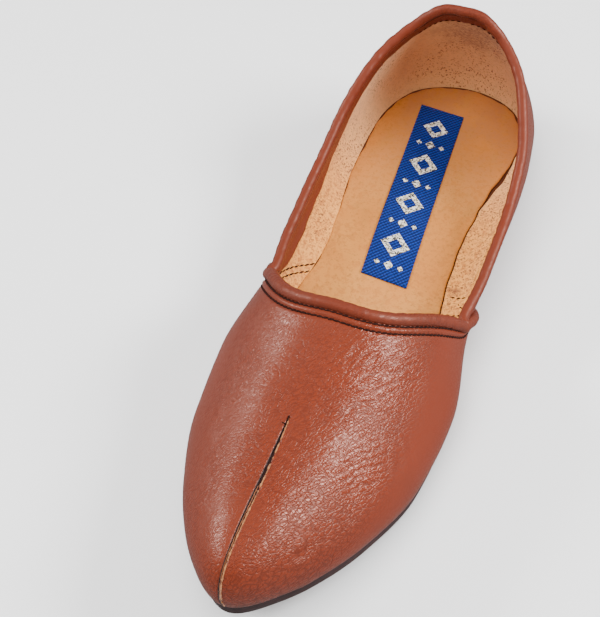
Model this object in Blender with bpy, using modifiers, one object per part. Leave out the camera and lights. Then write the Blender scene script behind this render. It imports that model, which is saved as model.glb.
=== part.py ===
"""A mojari, the slip-on leather shoe of South Asia, as separate pieces.

The shoe stands on the floor at z = 0 with its toe at -Y and its heel at +Y.
One height function gives the bed that sole, insole and upper share, and one
surface function gives the upper, its seam and both pipings.
"""
import bpy
import bmesh
import math
from collections import namedtuple

import numpy as np
from mathutils import Vector

MM = 0.001

# Driving sizes of the last
LENGTH = 280 * MM           # toe tip to back of heel, over the upper
BALL_WIDTH = 99 * MM        # widest part of the last, at the ball of the foot
INSTEP_HEIGHT = 50 * MM     # ridge above the sole at a third of the length
HEEL_HEIGHT = 60 * MM       # back of the collar above the sole
CORNER_HEIGHT = 18 * MM     # collar above the sole where it meets the vamp
TOE_SPRING = 20 * MM        # rise of the toe tip
SOLE_THICKNESS = 6 * MM
HEEL_LIFT = 4 * MM          # how far the heel seat stands above the forepart

# Walls, small pieces and clearances
WALL = 1.8 * MM             # leather and lining together
LAP = 1.0 * MM              # step of the vamp's edge over the quarter
PIPING_RADIUS = 2.3 * MM
PIPING_FOOT = 0.7           # share of that radius at the foot of the vamp's edge
INSOLE_THICKNESS = 3.6 * MM
SOLE_WELT = 0.8 * MM        # how far the sole stands out past the upper's foot
WELT_STEP = 0.6 * MM        # step in the sole's side
WELT_THICKNESS = 1.6 * MM
SEAM_WIDTH = 1.4 * MM       # slit over the toe
SEAM_DEPTH = 1.1 * MM
RIM_ROUND = 0.2 * MM        # roundness of the wall's upper edge
LABEL_LENGTH = 98 * MM
LABEL_WIDTH = 20 * MM
LABEL_THICKNESS = 0.5 * MM
LABEL_ASIDE = -3.6 * MM     # it is stuck a little off the middle line
LABEL_TURN = 4.0            # and a few degrees askew
CLEARANCE = 0.3 * MM        # between faces that meet

# Places along the shoe, as shares of its length from the toe tip
THROAT = 0.384              # middle of the vamp's upper edge
CORNER = 0.496              # where the vamp's edge meets the collar
CORNER_FOOT = 0.53          # foot of the wall's column under that corner
LAP_FOOT = 0.604            # where the vamp's edge meets the sole
SEAM_END = 0.235            # upper end of the slit over the toe
SPRING_END = 0.36           # where the sole leaves the floor towards the toe
SHANK_START = 0.46          # where the sole leaves the floor towards the heel
SEAT_START = 0.70           # front of the level heel seat
HEEL_BREAST = 0.745         # front face of the heel piece
LABEL_CENTRE = 0.7525

# Forms of the curves
SPRING_POWER = 1.6
THROAT_POWER = 2.9
DOME_POWER = 1.34
SIDE_POWER = 2.0
LAP_POWER = 1.15            # bend of the vamp's edge down the side
LAP_END = 0.32              # lower end of the piping on that edge, 0 at the sole
TUCK_HEIGHT = 17 * MM       # height over which the upper draws in to the sole
BELLY = 1.2 * MM            # roundness of the quarter's side
BLEND = 0.35                # share of the quarter that still follows the vamp

Section = namedtuple("Section", "along half_width tuck ridge")
# half_width and tuck are shares of half the ball width, ridge of the instep height
SECTIONS = [
    Section(0.00, 0.000, 0.083, 0.00),
    Section(0.03, 0.290, 0.085, 0.41),
    Section(0.08, 0.517, 0.087, 0.55),
    Section(0.16, 0.756, 0.092, 0.67),
    Section(0.27, 0.949, 0.100, 0.84),
    Section(0.38, 1.000, 0.130, 1.04),
    Section(0.50, 0.884, 0.215, 1.24),
    Section(0.62, 0.832, 0.300, 1.48),
    Section(0.76, 0.812, 0.175, 1.75),
    Section(0.88, 0.754, 0.100, 1.90),
    Section(0.96, 0.556, 0.055, 1.95),
    Section(1.00, 0.000, 0.036, 2.00),
]

Collar = namedtuple("Collar", "around height lean")
# around runs from the corner to the heel, height is a share of the way from the
# corner's height to the heel's, lean a share of half the ball width
COLLAR = [
    Collar(0.00, 0.00, 0.10),
    Collar(0.12, -0.01, 0.01),
    Collar(0.25, 0.035, -0.015),
    Collar(0.38, 0.22, 0.00),
    Collar(0.50, 0.505, 0.085),
    Collar(0.65, 0.715, 0.205),
    Collar(0.80, 0.89, 0.30),
    Collar(0.90, 0.98, 0.33),
    Collar(1.00, 1.00, 0.36),
]

# Counts of the meshes
VAMP_COLUMNS = 25
LAP_COLUMNS = 7
QUARTER_COLUMNS = 19
VAMP_ROWS = 12
QUARTER_ROWS = 9
LINING_ROWS = 11
SOLE_COLUMNS = 44
PIPING_COUNT = 84

HALF_BALL = BALL_WIDTH / 2
VAMP, QUARTER = "vamp", "quarter"


def column(rows, field):
    return np.array([getattr(row, field) for row in rows])


def smooth(xs, ys, x):
    """Cubic through the rows that never overshoots them."""
    step = np.diff(xs)
    slope = np.diff(ys) / step
    same = slope[1:] * slope[:-1] > 0
    wide = 2 * step[1:] + step[:-1]
    near = step[1:] + 2 * step[:-1]
    safe = np.where(same, slope[:-1], 1.0), np.where(same, slope[1:], 1.0)
    inner = np.where(same, (wide + near) / (wide / safe[0] + near / safe[1]), 0.0)
    tangent = np.concatenate([slope[:1], inner, slope[-1:]])
    x = np.asarray(x, float)
    i = np.clip(np.searchsorted(xs, x) - 1, 0, len(xs) - 2)
    t = np.clip((x - xs[i]) / step[i], 0, 1)
    low = (2 * t**3 - 3 * t**2 + 1) * ys[i] + (t**3 - 2 * t**2 + t) * step[i] * tangent[i]
    high = (3 * t**2 - 2 * t**3) * ys[i + 1] + (t**3 - t**2) * step[i] * tangent[i + 1]
    return low + high


def ease(t):
    t = np.clip(t, 0, 1)
    return t * t * (3 - 2 * t)


def turn(along):
    """Place around the outline, 0 at the toe and 1 at the heel, of a share of the length."""
    return np.arccos(1 - 2 * np.clip(along, 0, 1)) / np.pi


def share(around):
    return (1 - np.cos(np.pi * np.asarray(around, float))) / 2


def share_of(y):
    return np.clip(y / LENGTH + 0.5, 0, 1)


def half_width(along):
    rows = turn(column(SECTIONS, "along"))
    return HALF_BALL * smooth(rows, column(SECTIONS, "half_width"), turn(along))


def tuck(along):
    return HALF_BALL * smooth(column(SECTIONS, "along"), column(SECTIONS, "tuck"), along)


def ridge(along):
    rows = np.sqrt(column(SECTIONS, "along"))
    return INSTEP_HEIGHT * smooth(rows, column(SECTIONS, "ridge"), np.sqrt(np.clip(along, 0, 1)))


def underside(y):
    """Height of the sole's lower face over the floor."""
    along = share_of(y)
    spring = TOE_SPRING * np.clip(1 - along / SPRING_END, 0, 1) ** SPRING_POWER
    seat = HEEL_LIFT * ease((along - SHANK_START) / (SEAT_START - SHANK_START))
    return spring + seat


def bed(y):
    """Height of the sole's upper face, where upper and insole stand."""
    return underside(y) + SOLE_THICKNESS


def outline(around):
    along = share(around)
    return half_width(along), (along - 0.5) * LENGTH


def outline_normal(around):
    reach = 0.001
    around = np.asarray(around, float)
    before = outline(np.clip(around - reach, 0, 1))
    after = outline(np.clip(around + reach, 0, 1))
    dx = after[0] - before[0]
    dy = after[1] - before[1]
    dx = np.where(around <= reach, 1.0, np.where(around >= 1 - reach, -1.0, dx))
    dy = np.where((around <= reach) | (around >= 1 - reach), 0.0, dy)
    size = np.hypot(dx, dy)
    return dy / size, -dx / size


def dome(x, along):
    """Height of the last over the bed at a place in plan."""
    across = np.clip(np.abs(x) / np.maximum(half_width(along), 1e-6), 0, 1)
    return ridge(along) * np.clip(1 - across**SIDE_POWER, 0, 1) ** (1 / DOME_POWER)


def corner():
    """Half distance between the two ends of the throat."""
    rise = (CORNER_HEIGHT / ridge(CORNER)) ** DOME_POWER
    return float(half_width(CORNER) * (1 - rise) ** (1 / SIDE_POWER))


def throat(u):
    """The vamp's upper edge in plan, u from its middle to its end."""
    swing = 0.42 * np.pi
    x = corner() * np.sin(swing * u) / np.sin(swing)
    along = THROAT + (CORNER - THROAT) * (x / corner()) ** THROAT_POWER
    return x, (along - 0.5) * LENGTH


def place(x, y, height, around, side):
    """Point over the bed, drawn in to the sole near its foot."""
    nx, ny = outline_normal(around)
    drawn = tuck(share(around)) * np.clip(1 - height / TUCK_HEIGHT, 0, 1) ** 2 - side
    x = x - nx * drawn
    y = y - ny * drawn
    return np.stack([x, y, bed(y) + height], axis=-1)


def vamp_point(u, v):
    """Outer face of the front piece: u from toe to rear edge, v from foot to throat."""
    around = u * turn(CORNER_FOOT)
    foot_x, foot_y = outline(around)
    top_x, top_y = throat(u)
    across = 1 - np.cos(v * np.pi / 2)
    x = foot_x + (top_x - foot_x) * across
    y = foot_y + (top_y - foot_y) * across
    return place(x, y, dome(x, share_of(y)), around, 0.0)


def quarter_point(u, v):
    """Outer face of the rear piece: u from the vamp's edge to the heel."""
    foot = turn(CORNER_FOOT)
    start = turn(CORNER)
    around = foot + (1 - foot) * u
    foot_x, foot_y = outline(around)
    over = start + (1 - start) * u
    top_x, top_y = outline(over)
    nx, ny = outline_normal(over)
    rows = column(COLLAR, "around")
    lean = HALF_BALL * smooth(rows, column(COLLAR, "lean"), u)
    top_x = top_x - nx * lean
    top_y = top_y - ny * lean
    first_x, first_y = outline(np.array(start))
    first_nx, first_ny = outline_normal(np.array(start))
    first_lean = HALF_BALL * COLLAR[0].lean
    pull = np.clip(1 - u / 0.3, 0, 1) ** 2
    top_x = top_x + (corner() - first_x + first_nx * first_lean) * pull
    top_y = top_y + ((CORNER - 0.5) * LENGTH - first_y + first_ny * first_lean) * pull
    rise = smooth(rows, column(COLLAR, "height"), u)
    top = CORNER_HEIGHT + (HEEL_HEIGHT - CORNER_HEIGHT) * rise
    across = 1 - np.cos(v * np.pi / 2)
    edge_x, edge_y = outline(np.array(foot))
    edge_x = edge_x + (corner() - edge_x) * across
    edge_y = edge_y + ((CORNER - 0.5) * LENGTH - edge_y) * across
    edge_height = dome(edge_x, share_of(edge_y)) / CORNER_HEIGHT
    own = ease(u / BLEND)
    way = across * (1 - own) + v**1.6 * own
    height = top * (edge_height * (1 - own) + v * own)
    x = foot_x + (top_x - foot_x) * way
    y = foot_y + (top_y - foot_y) * way
    return place(x, y, height, around, BELLY * own * np.sin(np.pi * v))


def surface(piece, u, v):
    u, v = np.broadcast_arrays(np.asarray(u, float), np.asarray(v, float))
    return vamp_point(u, v) if piece == VAMP else quarter_point(u, v)


def unit(vectors):
    return vectors / np.maximum(np.linalg.norm(vectors, axis=-1, keepdims=True), 1e-12)


def one_normal(piece, u, v):
    reach = 0.004
    along = surface(piece, np.clip(u + reach, 0, 1), v) - surface(piece, np.clip(u - reach, 0, 1), v)
    up = surface(piece, u, np.clip(v + reach, 0, 1)) - surface(piece, u, np.clip(v - reach, 0, 1))
    return unit(np.cross(along, up))


def normal(piece, u, v):
    """Outward direction of the surface."""
    u, v = np.broadcast_arrays(np.asarray(u, float), np.asarray(v, float))
    out = one_normal(piece, u, v)
    meets = (u >= 1) if piece == VAMP else (u <= 0)
    across = one_normal(QUARTER, 0 * u, v) + one_normal(VAMP, 0 * u + 1, v)
    out = np.where(meets[..., None], across, out)
    middle = (u <= 0) if piece == VAMP else (u >= 1)
    out[..., 0] = np.where(middle, 0.0, out[..., 0])
    return unit(out)


def lap_reach():
    """Value of u in the quarter at which the vamp's edge meets the sole."""
    start = turn(CORNER_FOOT)
    return float((turn(LAP_FOOT) - start) / (1 - start))


def lap_height(u):
    """Value of v at which column u of the quarter crosses the vamp's edge."""
    return np.clip(1 - u / lap_reach(), 0, 1) ** LAP_POWER


def around_of(piece, u):
    foot = turn(CORNER_FOOT)
    return u * foot if piece == VAMP else foot + (1 - foot) * u


def wall_section(piece, u):
    """Closed section of the wall at column u: up the outside, down the inside."""
    edge = 1.0 if piece == VAMP else float(lap_height(u))
    front = np.linspace(0, edge, VAMP_ROWS)
    rear = np.linspace(edge, 1, QUARTER_ROWS)
    rows = np.concatenate([front, rear])
    lap = np.where(np.arange(len(rows)) < VAMP_ROWS, LAP, 0.0)
    if piece == VAMP:
        lap[:] = LAP
    elif edge <= 0:
        lap[:] = 0.0
    skin = surface(piece, u, rows)
    outer = skin + normal(piece, u, rows) * lap[:, None]
    lining = np.linspace(0, 1, LINING_ROWS)
    side = normal(piece, u, lining)
    inner = surface(piece, u, lining) - side * WALL
    flat = np.array([float(n) for n in outline_normal(around_of(piece, u))])
    facing = max(float(side[0, :2] @ flat), 0.45)
    foot = skin[0, :2]
    outer[rows <= 0, :2] = foot + flat * lap[0] * 0.4
    inner[0, :2] = foot - flat * WALL / facing
    lowest = bed(outer[:, 1]) + CLEARANCE
    outer[:, 2] = np.where(rows <= 0, lowest, np.maximum(outer[:, 2], lowest))
    inner[0, 2] = bed(inner[0, 1]) + CLEARANCE
    up = unit(skin[-1] - surface(piece, u, 0.98))
    rim = (outer[-1] + inner[-1]) / 2 + up * RIM_ROUND
    ring = np.concatenate([outer, rim[None], inner[::-1], outer[:1]])
    if (piece == VAMP and u <= 0) or (piece == QUARTER and u >= 1):
        ring[:, 0] = 0.0
    return ring


def inside_edge(piece, u, height):
    """Place in plan of the wall's inner face at a height over the bed."""
    inner = wall_section(piece, u)[VAMP_ROWS + QUARTER_ROWS + 1:-1][::-1][:6]
    over = inner[:, 2] - bed(inner[:, 1])
    return np.array([np.interp(height, over, inner[:, 0]), np.interp(height, over, inner[:, 1])])


def foot_outline(around, out):
    """Foot of the upper in plan, moved outwards."""
    x, y = outline(around)
    nx, ny = outline_normal(around)
    drawn = tuck(share(around)) - out
    x = np.where((around <= 0) | (around >= 1), 0.0, np.maximum(x - nx * drawn, 0.0))
    return x, y - ny * drawn


def new_collection(name):
    collection = bpy.data.collections.new(name)
    bpy.context.scene.collection.children.link(collection)
    return collection


def material(name, color, roughness):
    made = bpy.data.materials.new(name)
    made.use_nodes = True
    shader = made.node_tree.nodes["Principled BSDF"]
    shader.inputs["Base Color"].default_value = (*color, 1)
    shader.inputs["Roughness"].default_value = roughness
    shader.inputs["Metallic"].default_value = 0.0
    made.diffuse_color = (*color, 1)
    return made


def finish(obj, collection, look, angle=50):
    collection.objects.link(obj)
    obj.data.materials.append(look)
    if obj.type == "MESH":
        obj.data.shade_smooth()
        obj.data.set_sharp_from_angle(angle=math.radians(angle))
    return obj


def mirrored(obj):
    mirror = obj.modifiers.new("Mirror", "MIRROR")
    mirror.use_clip = True
    mirror.merge_threshold = 0.00005
    return obj


def loft_half(name, sections):
    """Half a piece from sections that all hold the same number of points."""
    sections = np.asarray(sections)
    count, rows = sections.shape[:2]
    bm = bmesh.new()
    bmesh.ops.create_grid(bm, x_segments=count - 1, y_segments=rows - 1, size=1)
    for vert in bm.verts:
        i = round((vert.co.x + 1) / 2 * (count - 1))
        j = round((vert.co.y + 1) / 2 * (rows - 1))
        vert.co = Vector(sections[i, j])
    bmesh.ops.remove_doubles(bm, verts=bm.verts, dist=0.01 * MM)
    mesh = bpy.data.meshes.new(name)
    bm.to_mesh(mesh)
    bm.free()
    return mirrored(bpy.data.objects.new(name, mesh))


def make_upper(collection, cutters, look):
    """Vamp and quarter as one hollow wall, open above and below."""
    lap = np.linspace(0, lap_reach(), LAP_COLUMNS)
    rear = np.linspace(lap_reach(), 1, QUARTER_COLUMNS)[1:]
    columns = [wall_section(VAMP, u) for u in np.linspace(0, 1, VAMP_COLUMNS)[:-1]]
    columns += [wall_section(QUARTER, u) for u in np.concatenate([lap, rear])]
    upper = finish(loft_half("upper", columns), collection, look)
    cutter = make_seam_cutter(cutters)
    cut = upper.modifiers.new("Seam", "BOOLEAN")
    cut.operation = "DIFFERENCE"
    cut.solver = "EXACT"
    cut.object = cutter
    return upper


def seam_end():
    """Value of v at which the slit over the toe ends."""
    v = np.linspace(0, 1, 200)
    return float(np.interp(SEAM_END, share_of(surface(VAMP, 0.0, v)[:, 1]), v))


def make_seam_cutter(cutters):
    """Blade that follows the ridge and narrows to a point."""
    rows = np.linspace(0, seam_end(), 20)
    skin = surface(VAMP, 0.0, rows)
    out = normal(VAMP, 0.0, rows)
    skin[0] -= unit(skin[1] - skin[0]) * 2 * MM
    skin[:, 0] = 0.0
    out[:, 0] = 0.0
    width = SEAM_WIDTH / 2 * np.sqrt(np.clip(1 - rows / rows[-1], 0, 1))
    low = skin + out * (LAP - SEAM_DEPTH)
    high = skin + out * (LAP + 3 * MM)
    side = np.array([1.0, 0.0, 0.0])
    sections = []
    for a, b, w in zip(low, high, width):
        sections.append([a, a + side * w, b + side * w, b])
    first = np.array(sections[0])
    first[:, 0] = 0.0
    cutter = loft_half("seam_cutter", [first] + sections)
    cutters.objects.link(cutter)
    cutter.hide_render = True
    cutter.display_type = "WIRE"
    return cutter


def make_outsole(collection, look):
    """Thin sole with a stepped side, level at the ball and under the heel."""
    sections = []
    for around in np.linspace(0, 1, SOLE_COLUMNS):
        x, y = foot_outline(np.array(around), SOLE_WELT)
        in_x, in_y = foot_outline(np.array(around), SOLE_WELT - WELT_STEP)
        low = underside(in_y)
        section = [(0, in_y, low), (in_x * 0.97, in_y, low)]
        section.append((in_x, in_y, low + 0.5 * MM))
        section.append((in_x, in_y, bed(in_y) - WELT_THICKNESS))
        section.append((x, y, bed(y) - WELT_THICKNESS + 0.3 * MM))
        section.append((x, y, bed(y) - 0.3 * MM))
        section.append((in_x, in_y, bed(in_y)))
        section.append((0, in_y, bed(in_y)))
        sections.append(section)
    return finish(loft_half("outsole", sections), collection, look, 30)


def make_heel_lift(collection, look):
    """Low heel piece under the sole."""
    start = float(turn(HEEL_BREAST))
    top = HEEL_LIFT - CLEARANCE
    sections = []
    for around in np.linspace(start, 1, 16):
        x, y = foot_outline(np.array(around), SOLE_WELT - WELT_STEP)
        low_x, low_y = foot_outline(np.array(around), SOLE_WELT - 2 * WELT_STEP)
        sections.append([(0, low_y, 0), (low_x, low_y, 0), (x, y, top), (0, y, top)])
    first = np.array(sections[0])
    first[:, 0] = 0.0
    return finish(loft_half("heel_lift", [first] + sections), collection, look, 30)


def make_insole(collection, look):
    """Board on the sole that fills the floor of the upper to its wall."""
    low = CLEARANCE
    high = CLEARANCE + INSOLE_THICKNESS
    columns = [(VAMP, u) for u in np.linspace(0, 1, 22)]
    columns += [(QUARTER, u) for u in np.linspace(0, 1, 18)[1:]]
    sections = []
    for piece, u in columns:
        out = np.array([float(n) for n in outline_normal(around_of(piece, u))])
        bottom = inside_edge(piece, u, low) - out * 2 * CLEARANCE
        top = inside_edge(piece, u, high) - out * 2 * CLEARANCE
        if u in (0, 1) and (piece == VAMP) == (u == 0):
            bottom[0] = top[0] = 0.0
        section = [(0, bottom[1], bed(bottom[1]) + low)]
        section.append((bottom[0], bottom[1], bed(bottom[1]) + low))
        section.append((top[0], top[1], bed(top[1]) + high))
        section.append((0, top[1], bed(top[1]) + high))
        sections.append(section)
    return finish(loft_half("insole", sections), collection, look, 30)


def make_label(collection, look):
    """Woven label that lies along the heel half of the insole."""
    middle = (LABEL_CENTRE - 0.5) * LENGTH
    half = LABEL_WIDTH / 2
    sections = []
    for along in np.linspace(-LABEL_LENGTH / 2, LABEL_LENGTH / 2, 14):
        low = bed(middle + along) + INSOLE_THICKNESS + 2 * CLEARANCE
        high = low + LABEL_THICKNESS
        sections.append([(0, along, low), (half, along, low), (half, along, high), (0, along, high)])
    first = np.array(sections[0])
    last = np.array(sections[-1])
    first[:, 0] = last[:, 0] = 0.0
    label = loft_half("label", [first] + sections + [last])
    label.location = (LABEL_ASIDE, middle, 0)
    label.rotation_euler = (0, 0, math.radians(LABEL_TURN))
    return finish(label, collection, look, 30)


def bead_path(skin, out, inward, reach, rise):
    """Centre line beside an edge: reach along the surface, rise away from it."""
    tangent = unit(np.gradient(skin, axis=0))
    aside = unit(np.cross(out, tangent)) * inward
    return skin + aside * reach[:, None] + out * rise[:, None]


def even(points, count):
    """The same path with evenly spaced points."""
    steps = np.linalg.norm(np.diff(points[:, :3], axis=0), axis=1)
    length = np.concatenate([[0], np.cumsum(steps)])
    at = np.linspace(0, length[-1], count)
    return np.stack([np.interp(at, length, column_of) for column_of in points.T], axis=1)


def soften(points, rounds):
    for _ in range(rounds):
        points[1:-1] = (points[:-2] + 2 * points[1:-1] + points[2:]) / 4
    return points


def both_sides(points):
    """Path over both halves from one that ends on the middle plane."""
    other = points[::-1][1:] * np.array([-1.0, 1.0, 1.0])
    return np.concatenate([points, other])


def make_bead(name, points, widths, collection, look):
    curve = bpy.data.curves.new(name, "CURVE")
    curve.dimensions = "3D"
    curve.bevel_depth = PIPING_RADIUS
    curve.bevel_resolution = 2
    curve.use_fill_caps = True
    spline = curve.splines.new("POLY")
    spline.points.add(len(points) - 1)
    for point, place_of, width in zip(spline.points, points, widths):
        point.co = (*place_of, 1)
        point.radius = width
    return finish(bpy.data.objects.new(name, curve), collection, look)


def vamp_edge():
    """The vamp's edge from the sole up the side and along the throat to its middle."""
    side = np.linspace(LAP_END, 1, 40)
    over = np.linspace(1, 0, 60)
    u = lap_reach() * (1 - side ** (1 / LAP_POWER))
    skin = np.concatenate([surface(QUARTER, u, side)[:-1], surface(VAMP, over, 1.0)])
    out = np.concatenate([normal(QUARTER, u, side)[:-1], normal(VAMP, over, np.ones(60))])
    free = np.concatenate([np.zeros(39), ease((1 - over) / 0.35)])
    return skin, unit(soften(out, 4)), free


def throat_bead_half():
    """Centre line of the vamp's rolled edge and its width along it."""
    skin, out, free = vamp_edge()
    width = PIPING_FOOT + (1 - PIPING_FOOT) * ease(np.linspace(0, 1, len(skin)) / 0.6)
    seat = PIPING_RADIUS * width + CLEARANCE
    rise = seat * (1 - free) + (LAP - WALL) / 2 * free
    past = np.clip(rise - LAP, 0, None)
    reach = 0.3 * MM + np.sqrt(np.clip((seat + 0.05 * MM) ** 2 - past**2, 0, None))
    path = bead_path(skin, out, -1.0, reach, rise)
    path[-1, 0] = 0.0
    return path, width


def make_throat_piping(collection, look):
    path, width = throat_bead_half()
    half = even(np.column_stack([path, width]), PIPING_COUNT // 2)
    half[:, :3] = soften(half[:, :3], 1)
    points = both_sides(half[:, :3])
    widths = np.concatenate([half[:, 3], half[::-1, 3][1:]])
    return make_bead("throat_piping", points, widths, collection, look)


def make_collar_piping(collection, look):
    """Rolled edge around the foot opening, from one end of the vamp to the other."""
    u = np.linspace(0.0, 1, 90)
    skin = surface(QUARTER, u, 1.0)
    out = normal(QUARTER, u, np.full(len(u), 1.0))
    seat = PIPING_RADIUS + CLEARANCE + 0.25 * MM
    path = bead_path(skin, out, 1.0, np.full(len(u), seat), np.full(len(u), -WALL / 2))
    path[-1, 0] = 0.0
    other, width = throat_bead_half()
    gap = np.linalg.norm(path[:, None] - other[None], axis=2) - PIPING_RADIUS * (1 + width)
    clear = gap.min(axis=1) > CLEARANCE
    start = len(clear) - np.argmin(clear[::-1])
    half = even(path[start:], PIPING_COUNT // 2)
    points = both_sides(half)
    return make_bead("collar_piping", points, np.ones(len(points)), collection, look)


def build():
    for obj in list(bpy.data.objects):
        bpy.data.objects.remove(obj, do_unlink=True)
    shoe = new_collection("mojari")
    cutters = new_collection("cutters")
    leather = material("terracotta leather", (0.38, 0.10, 0.055), 0.38)
    edge = material("rolled leather", (0.36, 0.10, 0.06), 0.42)
    sole = material("dark sole leather", (0.055, 0.018, 0.018), 0.5)
    heel = material("dark heel leather", (0.05, 0.016, 0.017), 0.5)
    board = material("tan insole board", (0.60, 0.36, 0.20), 0.75)
    cloth = material("blue label weave", (0.02, 0.05, 0.22), 0.7)
    make_upper(shoe, cutters, leather)
    make_outsole(shoe, sole)
    make_heel_lift(shoe, heel)
    make_insole(shoe, board)
    make_label(shoe, cloth)
    make_throat_piping(shoe, edge)
    make_collar_piping(shoe, edge)


build()
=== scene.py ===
# %% [markdown]
# A mojari is a slip-on leather shoe of South Asia. A maker cuts a front piece, the vamp, and a rear piece,
# the quarter. The vamp's edge laps over the quarter, both edges are rolled over a cord, and the whole is
# sewn to a thin leather sole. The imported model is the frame: every piece below sits where that model says.
# Left and right are those of the picture: right is +X, and the toe points to -Y.
# %% Load the frame
import math

import bmesh
import bpy
import numpy as np
from mathutils import Matrix, Vector


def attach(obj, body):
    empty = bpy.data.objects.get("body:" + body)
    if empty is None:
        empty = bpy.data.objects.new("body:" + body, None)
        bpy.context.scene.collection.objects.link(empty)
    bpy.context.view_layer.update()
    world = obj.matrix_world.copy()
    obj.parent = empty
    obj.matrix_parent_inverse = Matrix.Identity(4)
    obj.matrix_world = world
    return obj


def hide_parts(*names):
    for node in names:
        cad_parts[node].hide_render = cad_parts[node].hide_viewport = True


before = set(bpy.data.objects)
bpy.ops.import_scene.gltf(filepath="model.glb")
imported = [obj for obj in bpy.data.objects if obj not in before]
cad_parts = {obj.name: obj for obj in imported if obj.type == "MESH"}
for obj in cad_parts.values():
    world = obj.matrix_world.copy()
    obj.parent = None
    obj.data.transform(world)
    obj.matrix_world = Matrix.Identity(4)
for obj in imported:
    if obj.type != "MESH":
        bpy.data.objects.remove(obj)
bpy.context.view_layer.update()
MM = 0.001

# %% [markdown]
# The leather is drawn over a last, so its surface is best written as the last's own form: an outline in
# plan, a ridge over the bed, and how far the leather draws in to the sole. The sizes below are the model's
# sizes, and the tables hold shares of them, as a last maker's chart does.
# %% The sizes of the last
LENGTH = 280 * MM
BALL_WIDTH = 99 * MM
INSTEP_HEIGHT = 50 * MM
HEEL_HEIGHT = 60 * MM
CORNER_HEIGHT = 18 * MM
TOE_SPRING = 20 * MM
SOLE_THICKNESS = 6 * MM
HEEL_LIFT = 4 * MM
WALL = 1.8 * MM
LAP = 1.0 * MM
PIPING = 2.3 * MM
INSOLE_THICKNESS = 3.6 * MM
CLEARANCE = 0.3 * MM

THROAT = 0.384
CORNER = 0.496
CORNER_FOOT = 0.53
LAP_FOOT = 0.604
SEAM_END = 0.235
SPRING_END = 0.36
SHANK_START = 0.46
SEAT_START = 0.70
HEEL_BREAST = 0.745

SPRING_POWER = 1.6
THROAT_POWER = 2.9
DOME_POWER = 1.34
LAP_POWER = 1.15
TUCK_HEIGHT = 17 * MM
BELLY = 1.2 * MM
BLEND = 0.35
THROAT_SWING = 0.42
CORNER_PULL = 0.3
QUARTER_POWER = 1.6
HALF_BALL = BALL_WIDTH / 2

# Columns: share of the length, half width, draw-in to the sole, ridge
LAST_ROWS = np.array([
    (0.00, 0.000, 0.083, 0.00),
    (0.03, 0.290, 0.085, 0.41),
    (0.08, 0.517, 0.087, 0.55),
    (0.16, 0.756, 0.092, 0.67),
    (0.27, 0.949, 0.100, 0.84),
    (0.38, 1.000, 0.130, 1.04),
    (0.50, 0.884, 0.215, 1.24),
    (0.62, 0.832, 0.300, 1.48),
    (0.76, 0.812, 0.175, 1.75),
    (0.88, 0.754, 0.100, 1.90),
    (0.96, 0.556, 0.055, 1.95),
    (1.00, 0.000, 0.036, 2.00),
])
# Columns: place from the corner to the heel, height, lean
COLLAR_ROWS = np.array([
    (0.00, 0.00, 0.10),
    (0.12, -0.01, 0.01),
    (0.25, 0.035, -0.015),
    (0.38, 0.22, 0.00),
    (0.50, 0.505, 0.085),
    (0.65, 0.715, 0.205),
    (0.80, 0.89, 0.30),
    (0.90, 0.98, 0.33),
    (1.00, 1.00, 0.36),
])
print("last rows", len(LAST_ROWS), "collar rows", len(COLLAR_ROWS))

# %% The outline, the bed and the ridge


def smooth(xs, ys, x):
    """Cubic through the rows that never overshoots them."""
    step = np.diff(xs)
    slope = np.diff(ys) / step
    same = slope[1:] * slope[:-1] > 0
    wide = 2 * step[1:] + step[:-1]
    near = step[1:] + 2 * step[:-1]
    safe = np.where(same, slope[:-1], 1.0), np.where(same, slope[1:], 1.0)
    inner = np.where(same, (wide + near) / (wide / safe[0] + near / safe[1]), 0.0)
    tangent = np.concatenate([slope[:1], inner, slope[-1:]])
    x = np.asarray(x, float)
    i = np.clip(np.searchsorted(xs, x) - 1, 0, len(xs) - 2)
    t = np.clip((x - xs[i]) / step[i], 0, 1)
    low = (2 * t**3 - 3 * t**2 + 1) * ys[i] + (t**3 - 2 * t**2 + t) * step[i] * tangent[i]
    high = (3 * t**2 - 2 * t**3) * ys[i + 1] + (t**3 - t**2) * step[i] * tangent[i + 1]
    return low + high


def ease(t):
    t = np.clip(t, 0, 1)
    return t * t * (3 - 2 * t)


def unit(vectors):
    return vectors / np.maximum(np.linalg.norm(vectors, axis=-1, keepdims=True), 1e-12)


def turn(along):
    return np.arccos(1 - 2 * np.clip(along, 0, 1)) / np.pi


def share(around):
    return (1 - np.cos(np.pi * np.asarray(around, float))) / 2


def share_of(y):
    return np.clip(y / LENGTH + 0.5, 0, 1)


def half_width(along):
    return HALF_BALL * smooth(turn(LAST_ROWS[:, 0]), LAST_ROWS[:, 1], turn(along))


def draw_in(along):
    return HALF_BALL * smooth(LAST_ROWS[:, 0], LAST_ROWS[:, 2], along)


def ridge(along):
    rows = np.sqrt(LAST_ROWS[:, 0])
    return INSTEP_HEIGHT * smooth(rows, LAST_ROWS[:, 3], np.sqrt(np.clip(along, 0, 1)))


def underside(y):
    along = share_of(y)
    spring = TOE_SPRING * np.clip(1 - along / SPRING_END, 0, 1) ** SPRING_POWER
    return spring + HEEL_LIFT * ease((along - SHANK_START) / (SEAT_START - SHANK_START))


def bed(y):
    return underside(y) + SOLE_THICKNESS


def outline(around):
    along = share(around)
    return half_width(along), (along - 0.5) * LENGTH


def outline_normal(around):
    reach = 0.001
    around = np.asarray(around, float)
    before = outline(np.clip(around - reach, 0, 1))
    after = outline(np.clip(around + reach, 0, 1))
    dx = after[0] - before[0]
    dy = after[1] - before[1]
    dx = np.where(around <= reach, 1.0, np.where(around >= 1 - reach, -1.0, dx))
    dy = np.where((around <= reach) | (around >= 1 - reach), 0.0, dy)
    size = np.hypot(dx, dy)
    return dy / size, -dx / size


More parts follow.
